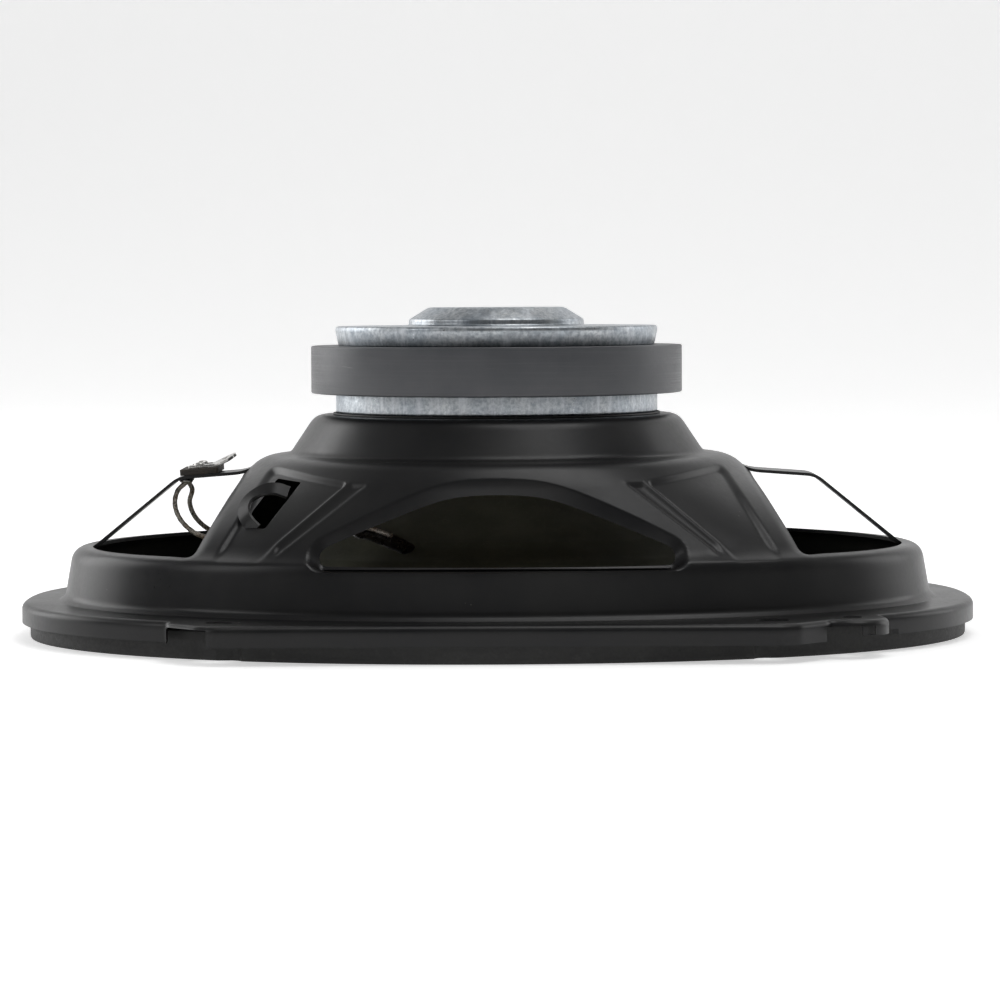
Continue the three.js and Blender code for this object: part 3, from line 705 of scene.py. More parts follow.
def emboss(p):
    """How far each point of the wall is pressed out (+) or in (-), from its plan position and height."""
    x, y, z = np.abs(p[:, 0]), p[:, 1], p[:, 2]
    out = np.zeros(len(p))
    side = (np.abs(y) > 18) & (z > 19) & (z < 43.6)
    # lip round the arch window: a narrow chamfer turned in from its fold
    near = np.where(side)[0]
    xz = np.column_stack([p[near, 0], z[near]])
    inner = np.maximum(distance_to(xz, ARCH_OUTLINE), 0)
    outer = np.maximum(-distance_to(xz, ARCH_FOLD), 0)
    lip = outer / np.maximum(inner + outer, 1e-6)
    out[near] -= 2.8 * lip
    # pressed-in panel on each strut, fading out towards the ring, and the valley beside it
    flat = np.column_stack([x[near], z[near]])
    foot = smoothstep(20.9, 25.8, flat[:, 1]) * smoothstep(19, 25, np.abs(y[near]))
    out[near] -= 0.9 * foot * smoothstep(0.6, -0.7, distance_to(flat, PANEL))
    out[near] -= 0.55 * smoothstep(0.7, -0.8, distance_to(flat, VALLEY))
    # fine creases on both sides of the valley
    for (x0, z0), (x1, z1) in (((30.2, 39.7), (51.3, 23.2)), ((34.9, 39.7), (52.0, 25.9))):
        along = np.array([x1 - x0, z1 - z0])
        length = np.linalg.norm(along)
        along /= length
        rel = flat - np.array([x0, z0])
        s = rel @ along
        off = rel @ np.array([-along[1], along[0]])
        fade = smoothstep(-1.5, 2, s) * smoothstep(length + 1.5, length - 2, s)
        out[near] += 0.16 * fade * np.exp(-((off / 0.5) ** 2))
    # struts roll in along the end windows, and the ring's edge rolls down
    upper = np.where((z > 20.5) & (z < 43.2) & (x > 54))[0]
    d = distance_to(np.column_stack([x[upper], y[upper]]), END_WINDOW)
    roll = np.clip(1 - np.maximum(d, 0) / 3.4, 0, 1)
    out[upper] -= 0.65 * roll ** 2
    return out


def grid_normals(grid):
    """Unit normals of a grid of points whose columns go round, pointing away from the axis or up."""
    along = np.empty_like(grid)
    along[1:-1] = grid[2:] - grid[:-2]
    along[0] = grid[1] - grid[0]
    along[-1] = grid[-1] - grid[-2]
    round_ = np.roll(grid, -1, axis=1) - np.roll(grid, 1, axis=1)
    n = np.cross(along, round_)
    n /= np.maximum(np.linalg.norm(n, axis=2, keepdims=True), 1e-9)
    return n


def basket_shell():
    """The pressing: one closed shell from the cup's hole to the lip, before its windows are cut."""
    columns = 960
    step = 0.6
    corners = [p for p, _ in PROFILE]
    cuts = [c for _, c in PROFILE]
    rows = resample(fillet(corners, cuts, 6), step)
    t = np.linspace(0, TURN, columns, endpoint=False)
    grid = []
    for a, b, z, power in rows:
        x, y = superellipse(a, b, power, t)
        grid.append(np.stack([x, y, np.full(columns, z)], axis=1))
    foot = grid[-1]
    direction = np.arctan2(foot[:, 1], foot[:, 0])
    outline = soft_outline(direction)[:, None] * np.column_stack([np.cos(direction), np.sin(direction)])
    tangent = np.roll(outline, -1, axis=0) - np.roll(outline, 1, axis=0)
    inward = np.column_stack([-tangent[:, 1], tangent[:, 0]])
    inward /= np.linalg.norm(inward, axis=1, keepdims=True)
    edge_r = 1.5
    start = outline + inward * edge_r
    plate_rows = 14
    for k in range(1, plate_rows + 1):
        flat = foot[:, :2] + (start - foot[:, :2]) * k / plate_rows
        grid.append(np.column_stack([flat, np.full(columns, FLANGE_REAR)]))
    for k in range(1, 7):
        turn = math.pi / 2 * k / 6
        flat = outline + inward * edge_r * (1 - math.sin(turn))
        grid.append(np.column_stack([flat, np.full(columns, FLANGE_REAR - edge_r * (1 - math.cos(turn)))]))
    lip_rows = 4
    for k in range(1, lip_rows + 1):
        z = FLANGE_REAR - edge_r + (LIP_BOTTOM - FLANGE_REAR + edge_r) * k / lip_rows
        grid.append(np.column_stack([outline, np.full(columns, z)]))
    grid = np.array(grid)
    normals = grid_normals(grid)
    pressed = emboss(grid.reshape(-1, 3)).reshape(grid.shape[:2])
    grid = grid + normals * pressed[..., None]
    normals = grid_normals(grid)
    inner = grid - normals * SHEET
    inner[-1, :, 2] = LIP_BOTTOM
    inner[0, :, :2] = grid[0, :, :2]
    both = np.concatenate([grid, inner[::-1]])
    faces = loop_faces(len(both), columns, close_rows=True)
    return mesh_object("basket_pressing", both.reshape(-1, 3), faces, 50)


def mirrored(outline, sx, sy):
    flat = np.asarray(outline) * np.array([sx, sy])
    return flat[::-1] if sx * sy < 0 else flat


def circle(x, y, r, n=40):
    t = np.linspace(0, TURN, n, endpoint=False)
    return np.column_stack([x + r * np.cos(t), y + r * np.sin(t)])


def slot_outline(x, y, r, half, n=16):
    right = np.linspace(-math.pi / 2, math.pi / 2, n)
    left = np.linspace(math.pi / 2, 3 * math.pi / 2, n)
    return np.vstack([
        np.column_stack([x + half + r * np.cos(right), y + r * np.sin(right)]),
        np.column_stack([x - half + r * np.cos(left), y + r * np.sin(left)]),
    ])


def strip(name, line, half_width, thickness, mirror=1):
    """A bent strip of sheet seen edge-on in the XZ plane, extruded along Y, with rounded bends."""
    line = fillet(line, [0] + [2.2] * (len(line) - 2) + [0], 6)
    along = np.gradient(line, axis=0)
    along /= np.linalg.norm(along, axis=1, keepdims=True)
    down = np.column_stack([along[:, 1], -along[:, 0]])
    outline = np.vstack([line, (line + down * thickness)[::-1]])
    outline[:, 0] *= mirror
    return prism(name, outline if mirror < 0 else outline[::-1], -half_width, half_width, "Y")


def wall_point(x, z, out=0.0):
    """A point on the basket's wall on the -Y side, raised by out."""
    corners = np.array([p for p, _ in PROFILE])
    a = np.interp(-z, -corners[:, 2], corners[:, 0])
    b = np.interp(-z, -corners[:, 2], corners[:, 1])
    y = -b * math.sqrt(max(1 - (x / a) ** 2, 0))
    n = np.array([x / a ** 2, y / b ** 2, 0.35 / b])
    n /= np.linalg.norm(n)
    return np.array([x, y, z]) + n * out


def guide_strap():
    """The lanced hook on the left front strut. Both its ends are sunk in the strut."""
    route = [(-50.6, 37.6, -1.6), (-51.8, 37.8, 1.0), (-54.2, 37.0, 2.1), (-57.2, 34.9, 2.5),
             (-58.5, 32.6, 2.3), (-58.4, 30.6, 1.2), (-57.4, 29.2, -1.4)]
    points = resample(fillet([wall_point(*p) for p in route], [0] + [2.2] * 5 + [0], 6), 0.3)
    n = np.array([-0.70, -0.62, 0.35])
    verts, faces = [], []
    for i, p in enumerate(points):
        along = points[min(i + 1, len(points) - 1)] - points[max(i - 1, 0)]
        along /= np.linalg.norm(along)
        side = np.cross(n, along)
        side = 0.55 * side / np.linalg.norm(side) + 0.45 * np.array([0.79, -0.60, -0.1])
        side -= along * (side @ along)
        side *= 1.8 / np.linalg.norm(side)
        normal = np.cross(along, side)
        normal *= 0.5 / np.linalg.norm(normal)
        soft = side * 0.86
        section = [-side, -soft - normal, soft - normal, side, soft + normal, -soft + normal]
        verts.extend(p + s for s in section)
    for k in range(0, (len(points) - 1) * 6, 6):
        for i in range(6):
            j = (i + 1) % 6
            faces.append((k + i, k + j, k + 6 + j, k + 6 + i))
    faces.append(tuple(range(5, -1, -1)))
    faces.append(tuple(range(len(verts) - 6, len(verts))))
    return mesh_object("guide_strap", verts, faces)


def make_basket():
    body = basket_shell()
    for near, far in ((-95, -42), (42, 95)):
        boolean(body, prism("arch", ARCH_OUTLINE, near, far, "Y"), "DIFFERENCE")
    for s in (1, -1):
        boolean(body, prism("end_window", mirrored(END_WINDOW, s, 1), 15, 43.4), "DIFFERENCE")
    for sx in (1, -1):
        for sy in (1, -1):
            boolean(body, prism("slot", slot_outline(sx * 63, sy * 71.5, 2.6, 1.3), 6, 12), "DIFFERENCE")
    for s in (1, -1):
        boolean(body, prism("ear_hole", circle(s * EAR_X, -s * EAR_Y, 2.4), 6, 12), "DIFFERENCE")
        cuts = [(75.2, 83.4, LIP_BOTTOM - 1, 7.7), (84.9, 86.5, 5.6, 7.6)]
        for x0, x1, z0, z1 in cuts:
            x0, x1 = sorted((s * x0, s * x1))
            y0, y1 = sorted((-s * 62, -s * 92))
            boolean(body, box_solid("notch", (x0, y0, z0), (x1, y1, z1)), "DIFFERENCE")
        x0, x1 = sorted((-s * 66, -s * 76))
        y0, y1 = sorted((-s * 62, -s * 92))
        boolean(body, box_solid("gap", (x0, y0, LIP_BOTTOM - 1), (x1, y1, 8.15)), "DIFFERENCE")
        x0, x1 = sorted((s * 76, s * 95))
        y0, y1 = sorted((-s * 56, -s * 92))
        boolean(body, box_solid("ear_trim", (x0, y0, LIP_BOTTOM - 1), (x1, y1, 5.4)), "DIFFERENCE")
    clip = [(-52.6, 40.0), (-46.4, 39.5), (-54.6, 29.0), (-58.6, 29.2), (-58.2, 32.4)]
    clip = rounded_outline(clip, 0.6, 3)
    boolean(body, prism("clip_hole", clip[::-1], -64, -25, "Y"), "DIFFERENCE")
    strut_line = [(57.5, 42.6), (61.0, 41.3), (63.4, 40.45), (78.8, 39.3), (100.7, 21.45), (103.6, 20.9)]
    for s in (1, -1):
        boolean(body, strip("end_strut", strut_line, END_STRUT_HALF, STRIP_SHEET, s), "UNION")
    boolean(body, guide_strap(), "UNION")
    finish_normals(body, 40)
    return body


basket = make_basket()
install(basket, "frame", "black_paint", PAINT, "basket")

# ---------------------------------------------------------------- front gasket


GASKET_INNER, GASKET_OUTER = (104.6, 70.9), (115.9, 80.9)


def make_gasket():
    """The moulded oval ring under the flange."""
    columns = 960
    t = np.linspace(0, TURN, columns, endpoint=False)
    inner = np.column_stack(superellipse(*GASKET_INNER, RING_POWER, t))
    outer = np.column_stack(superellipse(*GASKET_OUTER, RING_POWER, t))
    tangent = np.roll(outer, -1, axis=0) - np.roll(outer, 1, axis=0)
    inward = np.column_stack([-tangent[:, 1], tangent[:, 0]])
    inward /= np.linalg.norm(inward, axis=1, keepdims=True)
    top = size("front_gasket")[1][2]
    outside = fillet([(0.6, 0.0), (0.0, 0.0), (0.0, top), (0.9, top)], [0, 1.1, 0.5, 0], 4)
    inside = fillet([(0.9, top), (0.0, top), (0.0, 0.0), (0.6, 0.0)], [0, 0.5, 0.9, 0], 4)
    grid = [np.column_stack([outer + inward * d, np.full(columns, z)]) for d, z in outside]
    radial = inner / np.linalg.norm(inner, axis=1, keepdims=True)
    grid += [np.column_stack([inner + radial * d, np.full(columns, z)]) for d, z in inside]
    grid = np.array(grid)
    obj = mesh_object("gasket_ring", grid.reshape(-1, 3), loop_faces(len(grid), columns, close_rows=True), 50)
    for sx in (1, -1):
        for sy in (1, -1):
            boolean(obj, prism("slot", slot_outline(sx * 63, sy * 71.5, 2.9, 1.4), -1, 12), "DIFFERENCE")
    finish_normals(obj, 45)
    return obj


install(make_gasket(), "frame", "black_plastic", GASKET, "front_gasket")

# ---------------------------------------------------------------- motor

plate_low, plate_high = size("front_plate")
front_plate = rounded_lathe(
    "front_plate_fine",
    ring_section(14.2, plate_high[0], plate_low[2], plate_high[2]),
    [0.2, 0.5, 0.35, 0.2])
install(front_plate, "frame", "zinc_plate", ZINC, "front_plate")

seat = rounded_lathe("seat_ring_fine", ring_section(30, 40.6, 54.35, 54.8), [0.1, 0.15, 0.15, 0.1])
install(seat, "frame", "black_plastic", PLASTIC, "seat_ring")

magnet_low, magnet_high = size("magnet")
magnet = rounded_lathe(
    "magnet_ring",
    ring_section(24, magnet_high[0], magnet_low[2], magnet_high[2]),
    [0.3, 0.45, 0.45, 0.3], 200)
install(magnet, "frame", "ferrite", FERRITE, "magnet")

YOKE_LOW, YOKE_HIGH = size("t_yoke")
yoke = rounded_lathe(
    "back_plate_and_pole",
    [(0, 68), (3.1, 68), (3.1, YOKE_LOW[2]), (12.2, YOKE_LOW[2]), (12.2, 71.35), (39.1, 71.35), (39.4, 72.3),
     (YOKE_HIGH[0], 75.2), (YOKE_HIGH[0] - 0.3, 76.1), (22.4, 76.1), (21.7, 76.5),
     (21.7, 77.7), (16.8, YOKE_HIGH[2]),
     (0, YOKE_HIGH[2])],
    [0, 0, 0.1, 0.6, 0.8, 0.25, 0.4, 0.5, 0.5, 0.6, 0.3, 0.45, 0.8, 0], 200)
install(yoke, "frame", "zinc_plate", ZINC, "t_yoke")

for i in range(4):
    node = f"plate_rivet_{i + 1}"
    low, high = size(node)
    centre = (low + high) / 2
    head = rounded_lathe(
        node + "_head",
        [(0, low[2]), (1.9, low[2] + 0.05), (3.1, low[2] + 0.9), (3.2, high[2]), (0, high[2])],
        [0, 0.5, 0.4, 0.1, 0], 40)
    head.data.transform(Matrix.Translation(Vector((centre[0], centre[1], 0)) * MM))
    install(head, "frame", "tinned_steel", TINNED, node)

# ---------------------------------------------------------------- moving parts

CONE_NECK, CONE_NECK_Z, CONE_A, CONE_B, CONE_EDGE_Z = 13.4, 38.6, 93.0, 60.5, 9.1
CONE_THICK = 0.55


def cone_height(share):
    return CONE_NECK_Z - (CONE_NECK_Z - CONE_EDGE_Z) * share ** 0.9


def cone_back(x, y):
    """Height of the cone's back face at a plan position."""
    r = math.hypot(x, y)
    reach = 1 / math.hypot(x / r / CONE_A, y / r / CONE_B)
    return cone_height((r - CONE_NECK) / (reach - CONE_NECK))


def make_cone():
    """The paper cone, with three shallow stiffening ribs pressed round it and a flat glue edge."""
    shares = np.linspace(0, 1, 60)
    back = []
    for s in shares:
        ripple = sum(0.35 * math.exp(-(((s - c) / 0.018) ** 2)) for c in (0.45, 0.6, 0.75))
        a, b = (CONE_NECK + (edge - CONE_NECK) * s for edge in (CONE_A, CONE_B))
        back.append((a, b, cone_height(s) + ripple))
    front = [(a - 0.12, b - 0.12, z - CONE_THICK) for a, b, z in back]
    return oval_loft("cone_body", [*back, *front[::-1]], 260, 2.0)


install(make_cone(), "cone_assembly", "cone_paper", PAPER, "cone")


def blend_radially(obj, weight):
    """Bakes a ring-shaped piece's placement and works out a weight at each vertex, 0 on body_a and 1 on
    body_b. The weights are not stored, so the piece is not blended.
    """
    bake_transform(obj)
    co = np.zeros(len(obj.data.vertices) * 3, np.float32)
    obj.data.vertices.foreach_get("co", co)
    values = weight(co.reshape(-1, 3) / MM).astype(np.float32)


ROLL_A, ROLL_B, ROLL_WIDTH, ROLL_POWER = 93.4, 60.6, 9.8, 2.05


def make_surround():
    """Half-roll rubber surround with its two glue flanges."""
    roll_a, roll_b, width = ROLL_A, ROLL_B, ROLL_WIDTH
    depth, level, thick = 4.6, 7.1, 0.7
    front = [(roll_a - 5, roll_b - 5, level), (roll_a - 1.2, roll_b - 1.2, level)]
    steps = 20
    for i in range(steps + 1):
        turn = math.pi * i / steps
        reach = width * (1 - math.cos(turn)) / 2
        front.append((roll_a + reach, roll_b + reach, level - depth * math.sin(turn)))
    front += [(roll_a + width + more, roll_b + width + more, level) for more in (1, 8)]
    line = np.array(front)
    along = np.gradient(line[:, [0, 2]], axis=0)
    along /= np.linalg.norm(along, axis=1, keepdims=True)
    up = np.column_stack([-along[:, 1], along[:, 0]])
    out, rise = up[:, 0] * thick, up[:, 1] * thick
    back = np.column_stack([line[:, 0] + out, line[:, 1] + out, line[:, 2] + rise])
    return oval_loft("surround_roll", [*back, *line[::-1]], 300, ROLL_POWER)


surround = make_surround()
surround.data.materials.append(RUBBER)


def surround_weight(p):
    total = (np.abs(p[:, 0]) / ROLL_A) ** ROLL_POWER + (np.abs(p[:, 1]) / ROLL_B) ** ROLL_POWER
    mean = (ROLL_A + ROLL_B) / 2
    return 1 - smoothstep(1.0, 1 + ROLL_WIDTH / mean, total ** (1 / ROLL_POWER))


blend_radially(surround, surround_weight)
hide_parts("surround")


def make_spider():
    """Corrugated cloth spider."""
    inner, outer, level, waves, flat = 13.4, 55.0, 41.65, 7, 6.0
    n = 120
    top = []
    for i in range(n + 1):
        s = i / n
        r = inner + (outer - flat - inner) * s
        fade = smoothstep(0, 0.08, s) * smoothstep(1.0, 0.92, s)
        top.append((r, level + 0.2 + 0.62 * math.sin(s * waves * TURN) * float(fade)))
    top.append((outer, level + 0.2))
    under = [(r, z - 0.4) for r, z in top][::-1]
    return lathe("spider_disc", [*top, *under], 220, 60)


spider = make_spider()
spider.data.materials.append(SPIDER_CLOTH)
blend_radially(
    spider, lambda p: 1 - smoothstep(14.5, 49.0, np.hypot(p[:, 0], p[:, 1])))
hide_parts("spider")


def fine_ring(name, node, inner, material, slot, body, cut=0.08, segments=128):
    low, high = size(node)
    outer = high[0]
    section = ring_section(inner, outer, low[2], high[2])
    ring = rounded_lathe(name, section, [cut] * 4, segments, 3)
    return install(ring, body, slot, material, node)


fine_ring("former_tube", "voice_coil_former", 12.75, FILM, "former_film", "cone_assembly")
fine_ring("winding", "voice_coil_winding", 13.08, COPPER, "copper_wire", "cone_assembly", 0.2)
fine_ring("felt_ring", "dust_ring", 5.7, FELT, "felt", "cone_assembly", 0.4)

# ---------------------------------------------------------------- terminals

# The board lies on the left end strut, which slopes down to its bend. Local x runs from the bend inwards.
STRUT_BEND, STRUT_LEVEL = -78.5, 39.2
STRUT_SLOPE = math.atan2(1.2, 15.5)
ON_STRUT = Matrix.Translation(Vector((STRUT_BEND, 0, STRUT_LEVEL)) * MM)
ON_STRUT = ON_STRUT @ Matrix.Rotation(-STRUT_SLOPE, 4, "Y")
BOARD_HALF, BOARD_LOW, BOARD_TOP = 10.0, 0.35, 1.75
board = prism(
    "fibre_board",
    rounded_outline([(0.5, -BOARD_HALF), (10, -BOARD_HALF), (10, BOARD_HALF), (0.5, BOARD_HALF)], 0.9),
    BOARD_LOW, BOARD_TOP)
for y in (-2.1, 2.1):
    boolean(board, prism("pin_hole", circle(8.1, y, 0.7, 20), 0, 4), "DIFFERENCE")
bevel(board, 0.12)
board.data.transform(ON_STRUT)
install(board, "frame", "terminal_fibre", FIBRE, "terminal_board")

BLADE_START, BLADE_BEND, BLADE_LENGTH, BLADE_TILT, BLADE_THICK = 2.5, 8.9, 5.2, math.radians(22), 0.7
BLADE_TWIST = math.radians(9)


def make_blade(name, node, side, half):
    """A push-on blade: a flat foot on the board and a tilted tongue with clipped corners and a hole."""
    y = side * 5.0
    base = BOARD_TOP + 0.03
    foot = prism(name, rounded_outline([(BLADE_START, y - half), (BLADE_BEND + 0.2, y - half),
                                        (BLADE_BEND + 0.2, y + half), (BLADE_START, y + half)],
                                       [0.6, 0.05, 0.05, 0.6]), base, base + BLADE_THICK)
    tip = BLADE_LENGTH
    clip = 0.24 * half * 2
    right = [(-0.25, -half), (tip - clip, -half), (tip, -half + clip)]
    outline = right + [(x, -y) for x, y in right[::-1]]
    outline = rounded_outline(outline, [0.05, 0.3, 0.3, 0.3, 0.3, 0.05])
    tongue = prism(name + "_tongue", outline, 0, BLADE_THICK)
    boolean(tongue, prism("detent", circle(tip * 0.62, 0, 0.24 * half + 0.18, 24), -1, 2), "DIFFERENCE")
    place = Matrix.Translation(Vector((BLADE_BEND, y, base)) * MM) @ Matrix.Rotation(-BLADE_TILT, 4, "Y")
    tongue.data.transform(place @ Matrix.Rotation(BLADE_TWIST, 4, "X"))
    boolean(foot, tongue, "UNION")
    bevel(foot, 0.09)
    foot.data.transform(ON_STRUT)
    return install(foot, "frame", "tinned_steel", TINNED, node)


def make_eyelet(name, node, side):
    """A rolled eyelet that clamps a blade's foot to the board."""
    low = BOARD_TOP + BLADE_THICK + 0.02
    ring = rounded_lathe(
        name,
        [(0.45, low + 0.05), (1.3, low), (1.3, low + 0.3), (0.9, low + 0.65), (0.6, low + 0.6)],
        [0.05, 0.1, 0.15, 0.2, 0.15], 40)
    ring.data.transform(ON_STRUT @ Matrix.Translation(Vector((5.1, side * 5.0, 0)) * MM))
    return install(ring, "frame", "tinned_steel", TINNED, node)


for sign, side, half in (("positive", -1, 2.4), ("negative", 1, 1.4)):
    make_blade(f"blade_{sign}", f"terminal_{sign}", side, half)
    make_eyelet(f"eyelet_{sign}", f"terminal_{sign}_rivet", side)

# ---------------------------------------------------------------- tinsel leads

LEAD_R = 0.62


def catmull(points, per_span=24):
    """A centripetal Catmull-Rom curve through points."""
    points = [np.array(p, float) for p in points]
    ends = [2 * points[0] - points[1], *points, 2 * points[-1] - points[-2]]
    out = []
    for p0, p1, p2, p3 in zip(ends, ends[1:], ends[2:], ends[3:]):
        t0 = 0.0
        t1 = t0 + math.sqrt(np.linalg.norm(p1 - p0))
        t2 = t1 + math.sqrt(np.linalg.norm(p2 - p1))
        t3 = t2 + math.sqrt(np.linalg.norm(p3 - p2))
        for t in np.linspace(t1, t2, per_span, endpoint=False):
            a1 = (t1 - t) / (t1 - t0) * p0 + (t - t0) / (t1 - t0) * p1
            a2 = (t2 - t) / (t2 - t1) * p1 + (t - t1) / (t2 - t1) * p2
            a3 = (t3 - t) / (t3 - t2) * p2 + (t - t2) / (t3 - t2) * p3
            b1 = (t2 - t) / (t2 - t0) * a1 + (t - t0) / (t2 - t0) * a2
            b2 = (t3 - t) / (t3 - t1) * a2 + (t - t1) / (t3 - t1) * a3
            out.append((t2 - t) / (t2 - t1) * b1 + (t - t1) / (t2 - t1) * b2)
    out.append(points[-1])
    return np.array(out)


def even(points, step):
    """The polyline with its points moved to equal steps along it."""
    gaps = np.linalg.norm(np.diff(points, axis=0), axis=1)
    reach = np.concatenate([[0], np.cumsum(gaps)])
    n = max(2, round(reach[-1] / step))
    at = np.linspace(0, reach[-1], n + 1)
    return np.column_stack([np.interp(at, reach, points[:, k]) for k in range(3)])


def carried_frames(points):
    """Two unit vectors across the line at each point, turning as little as possible."""
    along = np.gradient(points, axis=0)
    along /= np.linalg.norm(along, axis=1, keepdims=True)
    side = np.cross(along[0], [0.3, 1.0, 0.2])
    sides = []
    for d in along:
        side = side - d * (side @ d)
        side /= np.linalg.norm(side)
        sides.append(side)
    sides = np.array(sides)
    return sides, np.cross(along, sides)


def braid_tube(name, points, radius, plaits=4, pitch=1.9, sides=24):
    """A braided cord: crossing right-hand and left-hand strands raised on a tube."""
    first, second = carried_frames(points)
    gaps = np.linalg.norm(np.diff(points, axis=0), axis=1)
    reach = np.concatenate([[0], np.cumsum(gaps)])
    verts = []
    for p, a, b, d in zip(points, first, second, reach):
        for k in range(sides):
            turn = TURN * k / sides
            right = abs(math.sin(plaits / 2 * turn + math.pi * d / pitch))
            left = abs(math.sin(plaits / 2 * turn - math.pi * d / pitch))
            r = radius * (0.72 + 0.28 * max(right, left) ** 0.8)
            verts.append(p + (a * math.cos(turn) + b * math.sin(turn)) * r)
    rows = len(points)
    faces = loop_faces(rows, sides)
    faces.append(tuple(range(sides - 1, -1, -1)))
    faces.append(tuple(range((rows - 1) * sides, rows * sides)))
    return mesh_object(name, verts, faces, 80)


def make_lead(sign, side, bulge):
    """One tinsel lead: from the board in an open loop down to the cone, then along the cone to its patch."""
    def over(x, y, lift=0.35):
        return (x, side * y, cone_back(x, y) + LEAD_R + lift)

    route = [
        (-77.2, side * 3.2, 37.6), (-bulge + 0.7, side * 3.4, 35.6), (-bulge, side * 3.7, 32.4),
        (-bulge + 1.2, side * 4.2, 28.8), (-bulge + 4.4, side * 5, 25.6), (-bulge + 9.6, side * 6.4, 23.6),
        (-60, side * 9, 21.8), over(-50, 12.4, 0.5), over(-42, 15.2, 0.9), over(-36, 18.8, 1.3),
        over(-31, 23.4, 1.2), over(-25.5, 29.4, 1.2),
    ]
    line = even(catmull(route), 0.28)
    lead = braid_tube(f"braid_{sign}", line, LEAD_R)
    lead.data.materials.append(BRAID)
    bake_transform(lead)
    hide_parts(f"tinsel_lead_{sign}")
    return line


def blob(name, place, radii, lean=None, seed=0, rough=0.06):
    """A lumpy drop, used for solder. lean turns it before it is placed."""
    work = bmesh.new()
    bmesh.ops.create_icosphere(work, subdivisions=4, radius=1.0)
    spin = np.random.default_rng(seed)
    waves = [(spin.normal(size=3) * 2.2, spin.uniform(0, TURN)) for _ in range(6)]
    for v in work.verts:
        swell = 1 + rough * sum(math.sin(float(Vector(k) @ v.co) + phase) for k, phase in waves) / 2
        v.co = Vector((v.co.x * radii[0], v.co.y * radii[1], v.co.z * radii[2])) * swell * MM
    mesh = bpy.data.meshes.new(name)
    work.to_mesh(mesh)
    work.free()
    mesh.transform(Matrix.Translation(Vector(place) * MM) @ (lean or Matrix.Identity(4)))
    obj = bpy.data.objects.new(name, mesh)
    bpy.context.scene.collection.objects.link(obj)
    finish_normals(obj, 80)
    return obj


PATCH_START, PATCH_END = np.array([-34.6, 19.5]), np.array([-20.4, 35.0])


def glue_strip(name, side, seed):
    """The domed, lumpy strip of adhesive that holds a lead's end to the cone's back."""
    rows, columns = 45, 17
    run = PATCH_END - PATCH_START
    off = np.array([-run[1], run[0]]) / np.linalg.norm(run)
    spin = np.random.default_rng(seed)
    phases = spin.uniform(0, TURN, 4)
    top, low = [], []
    for t in np.linspace(0, 1, rows):
        end = 1 - abs(2 * t - 1) ** 9
        wobble = 1 + 0.05 * math.sin(9 * t + phases[0]) + 0.04 * math.sin(23 * t + phases[1])
        half = 2.15 * max(end, 0.02) ** 0.5 * wobble
        for w in np.linspace(-1, 1, columns):
            x, y = PATCH_START + run * t + off * half * w
            z = cone_back(x, y)
            dome = max((1 - w * w) * end, 0) ** 0.5
            lumps = 1 + 0.10 * math.sin(15 * t + 2 * w + phases[2])
            lumps += 0.08 * math.sin(31 * t - 3 * w + phases[3])
            top.append((x, side * y, z + 0.35 + 0.62 * dome * lumps))
            low.append((x, side * y, z + 0.30))
    count = rows * columns
    faces = []
    for r in range(rows - 1):
        for c in range(columns - 1):
            k = r * columns + c
            faces.append((k, k + 1, k + columns + 1, k + columns))
            faces.append((count + k, count + k + columns, count + k + columns + 1, count + k + 1))
    rim = list(range(columns)) + [r * columns + columns - 1 for r in range(1, rows)]
    rim += [(rows - 1) * columns + c for c in range(columns - 2, -1, -1)]
    rim += [r * columns for r in range(rows - 2, 0, -1)]
    for p, q in zip(rim, rim[1:] + rim[:1]):
        faces.append((q, p, count + p, count + q))
    if side > 0:
        faces = [face[::-1] for face in faces]
    return mesh_object(name, top + low, faces, 80)


for sign, side, bulge, seed in (("positive", -1, 79.9, 3), ("negative", 1, 76.9, 8)):
    lead_line = make_lead(sign, side, bulge)
    solder = blob(f"solder_{sign}", lead_line[0] + np.array([0.1, 0, 0.5]), (1.5, 1.3, 0.8), seed=seed)
    install(solder, "frame", "tinned_steel", TINNED)
    patch = glue_strip(f"glue_{sign}", side, seed + 20)
    install(patch, "cone_assembly", "rubber", GLUE, f"lead_patch_{sign}")

# ---------------------------------------------------------------- tweeter

HOUSING_HIGH = size("tweeter_housing")[1]
POST_LOW, POST_HIGH = size("tweeter_post")
TW_R, TW_BACK = HOUSING_HIGH[0], HOUSING_HIGH[2]
post = rounded_lathe(
    "post_column",
    [(0, POST_LOW[2]), (6.4, POST_LOW[2]), (6.4, POST_LOW[2] + 1.2), (5.0, POST_LOW[2] + 2.6),
     (5.0, CUP_TOP - 0.4),
     (3.0, CUP_TOP - 0.4), (3.0, POST_HIGH[2]), (0, POST_HIGH[2])],
    [0, 0.3, 0.4, 0.8, 0.3, 0.1, 0.4, 0], 72)
install(post, "frame", "black_plastic", PLASTIC, "tweeter_post")

housing = rounded_lathe(
    "housing_cup",
    [(0, TW_BACK - 1.6), (TW_R - 3.2, TW_BACK - 1.6), (TW_R - 1.4, TW_BACK - 4),
     (TW_R - 1.4, 3.85), (TW_R, 3.85),
     (TW_R, 5.2), (TW_R - 0.35, 5.5), (TW_R - 0.35, TW_BACK - 5), (TW_R - 3.4, TW_BACK), (0, TW_BACK)],
    [0, 0.8, 0.8, 0.1, 0.15, 0.15, 0.15, 1.6, 1.4, 0], 120)
install(housing, "frame", "black_plastic", PLASTIC, "tweeter_housing")

low, high = size("tweeter_magnet")
tweeter_magnet = rounded_lathe(
    "slug_magnet", [(0, low[2]), (high[0], low[2]), (high[0], high[2]), (0, high[2])], [0, 0.25, 0.25, 0], 96)
install(tweeter_magnet, "frame", "ferrite", FERRITE, "tweeter_magnet")

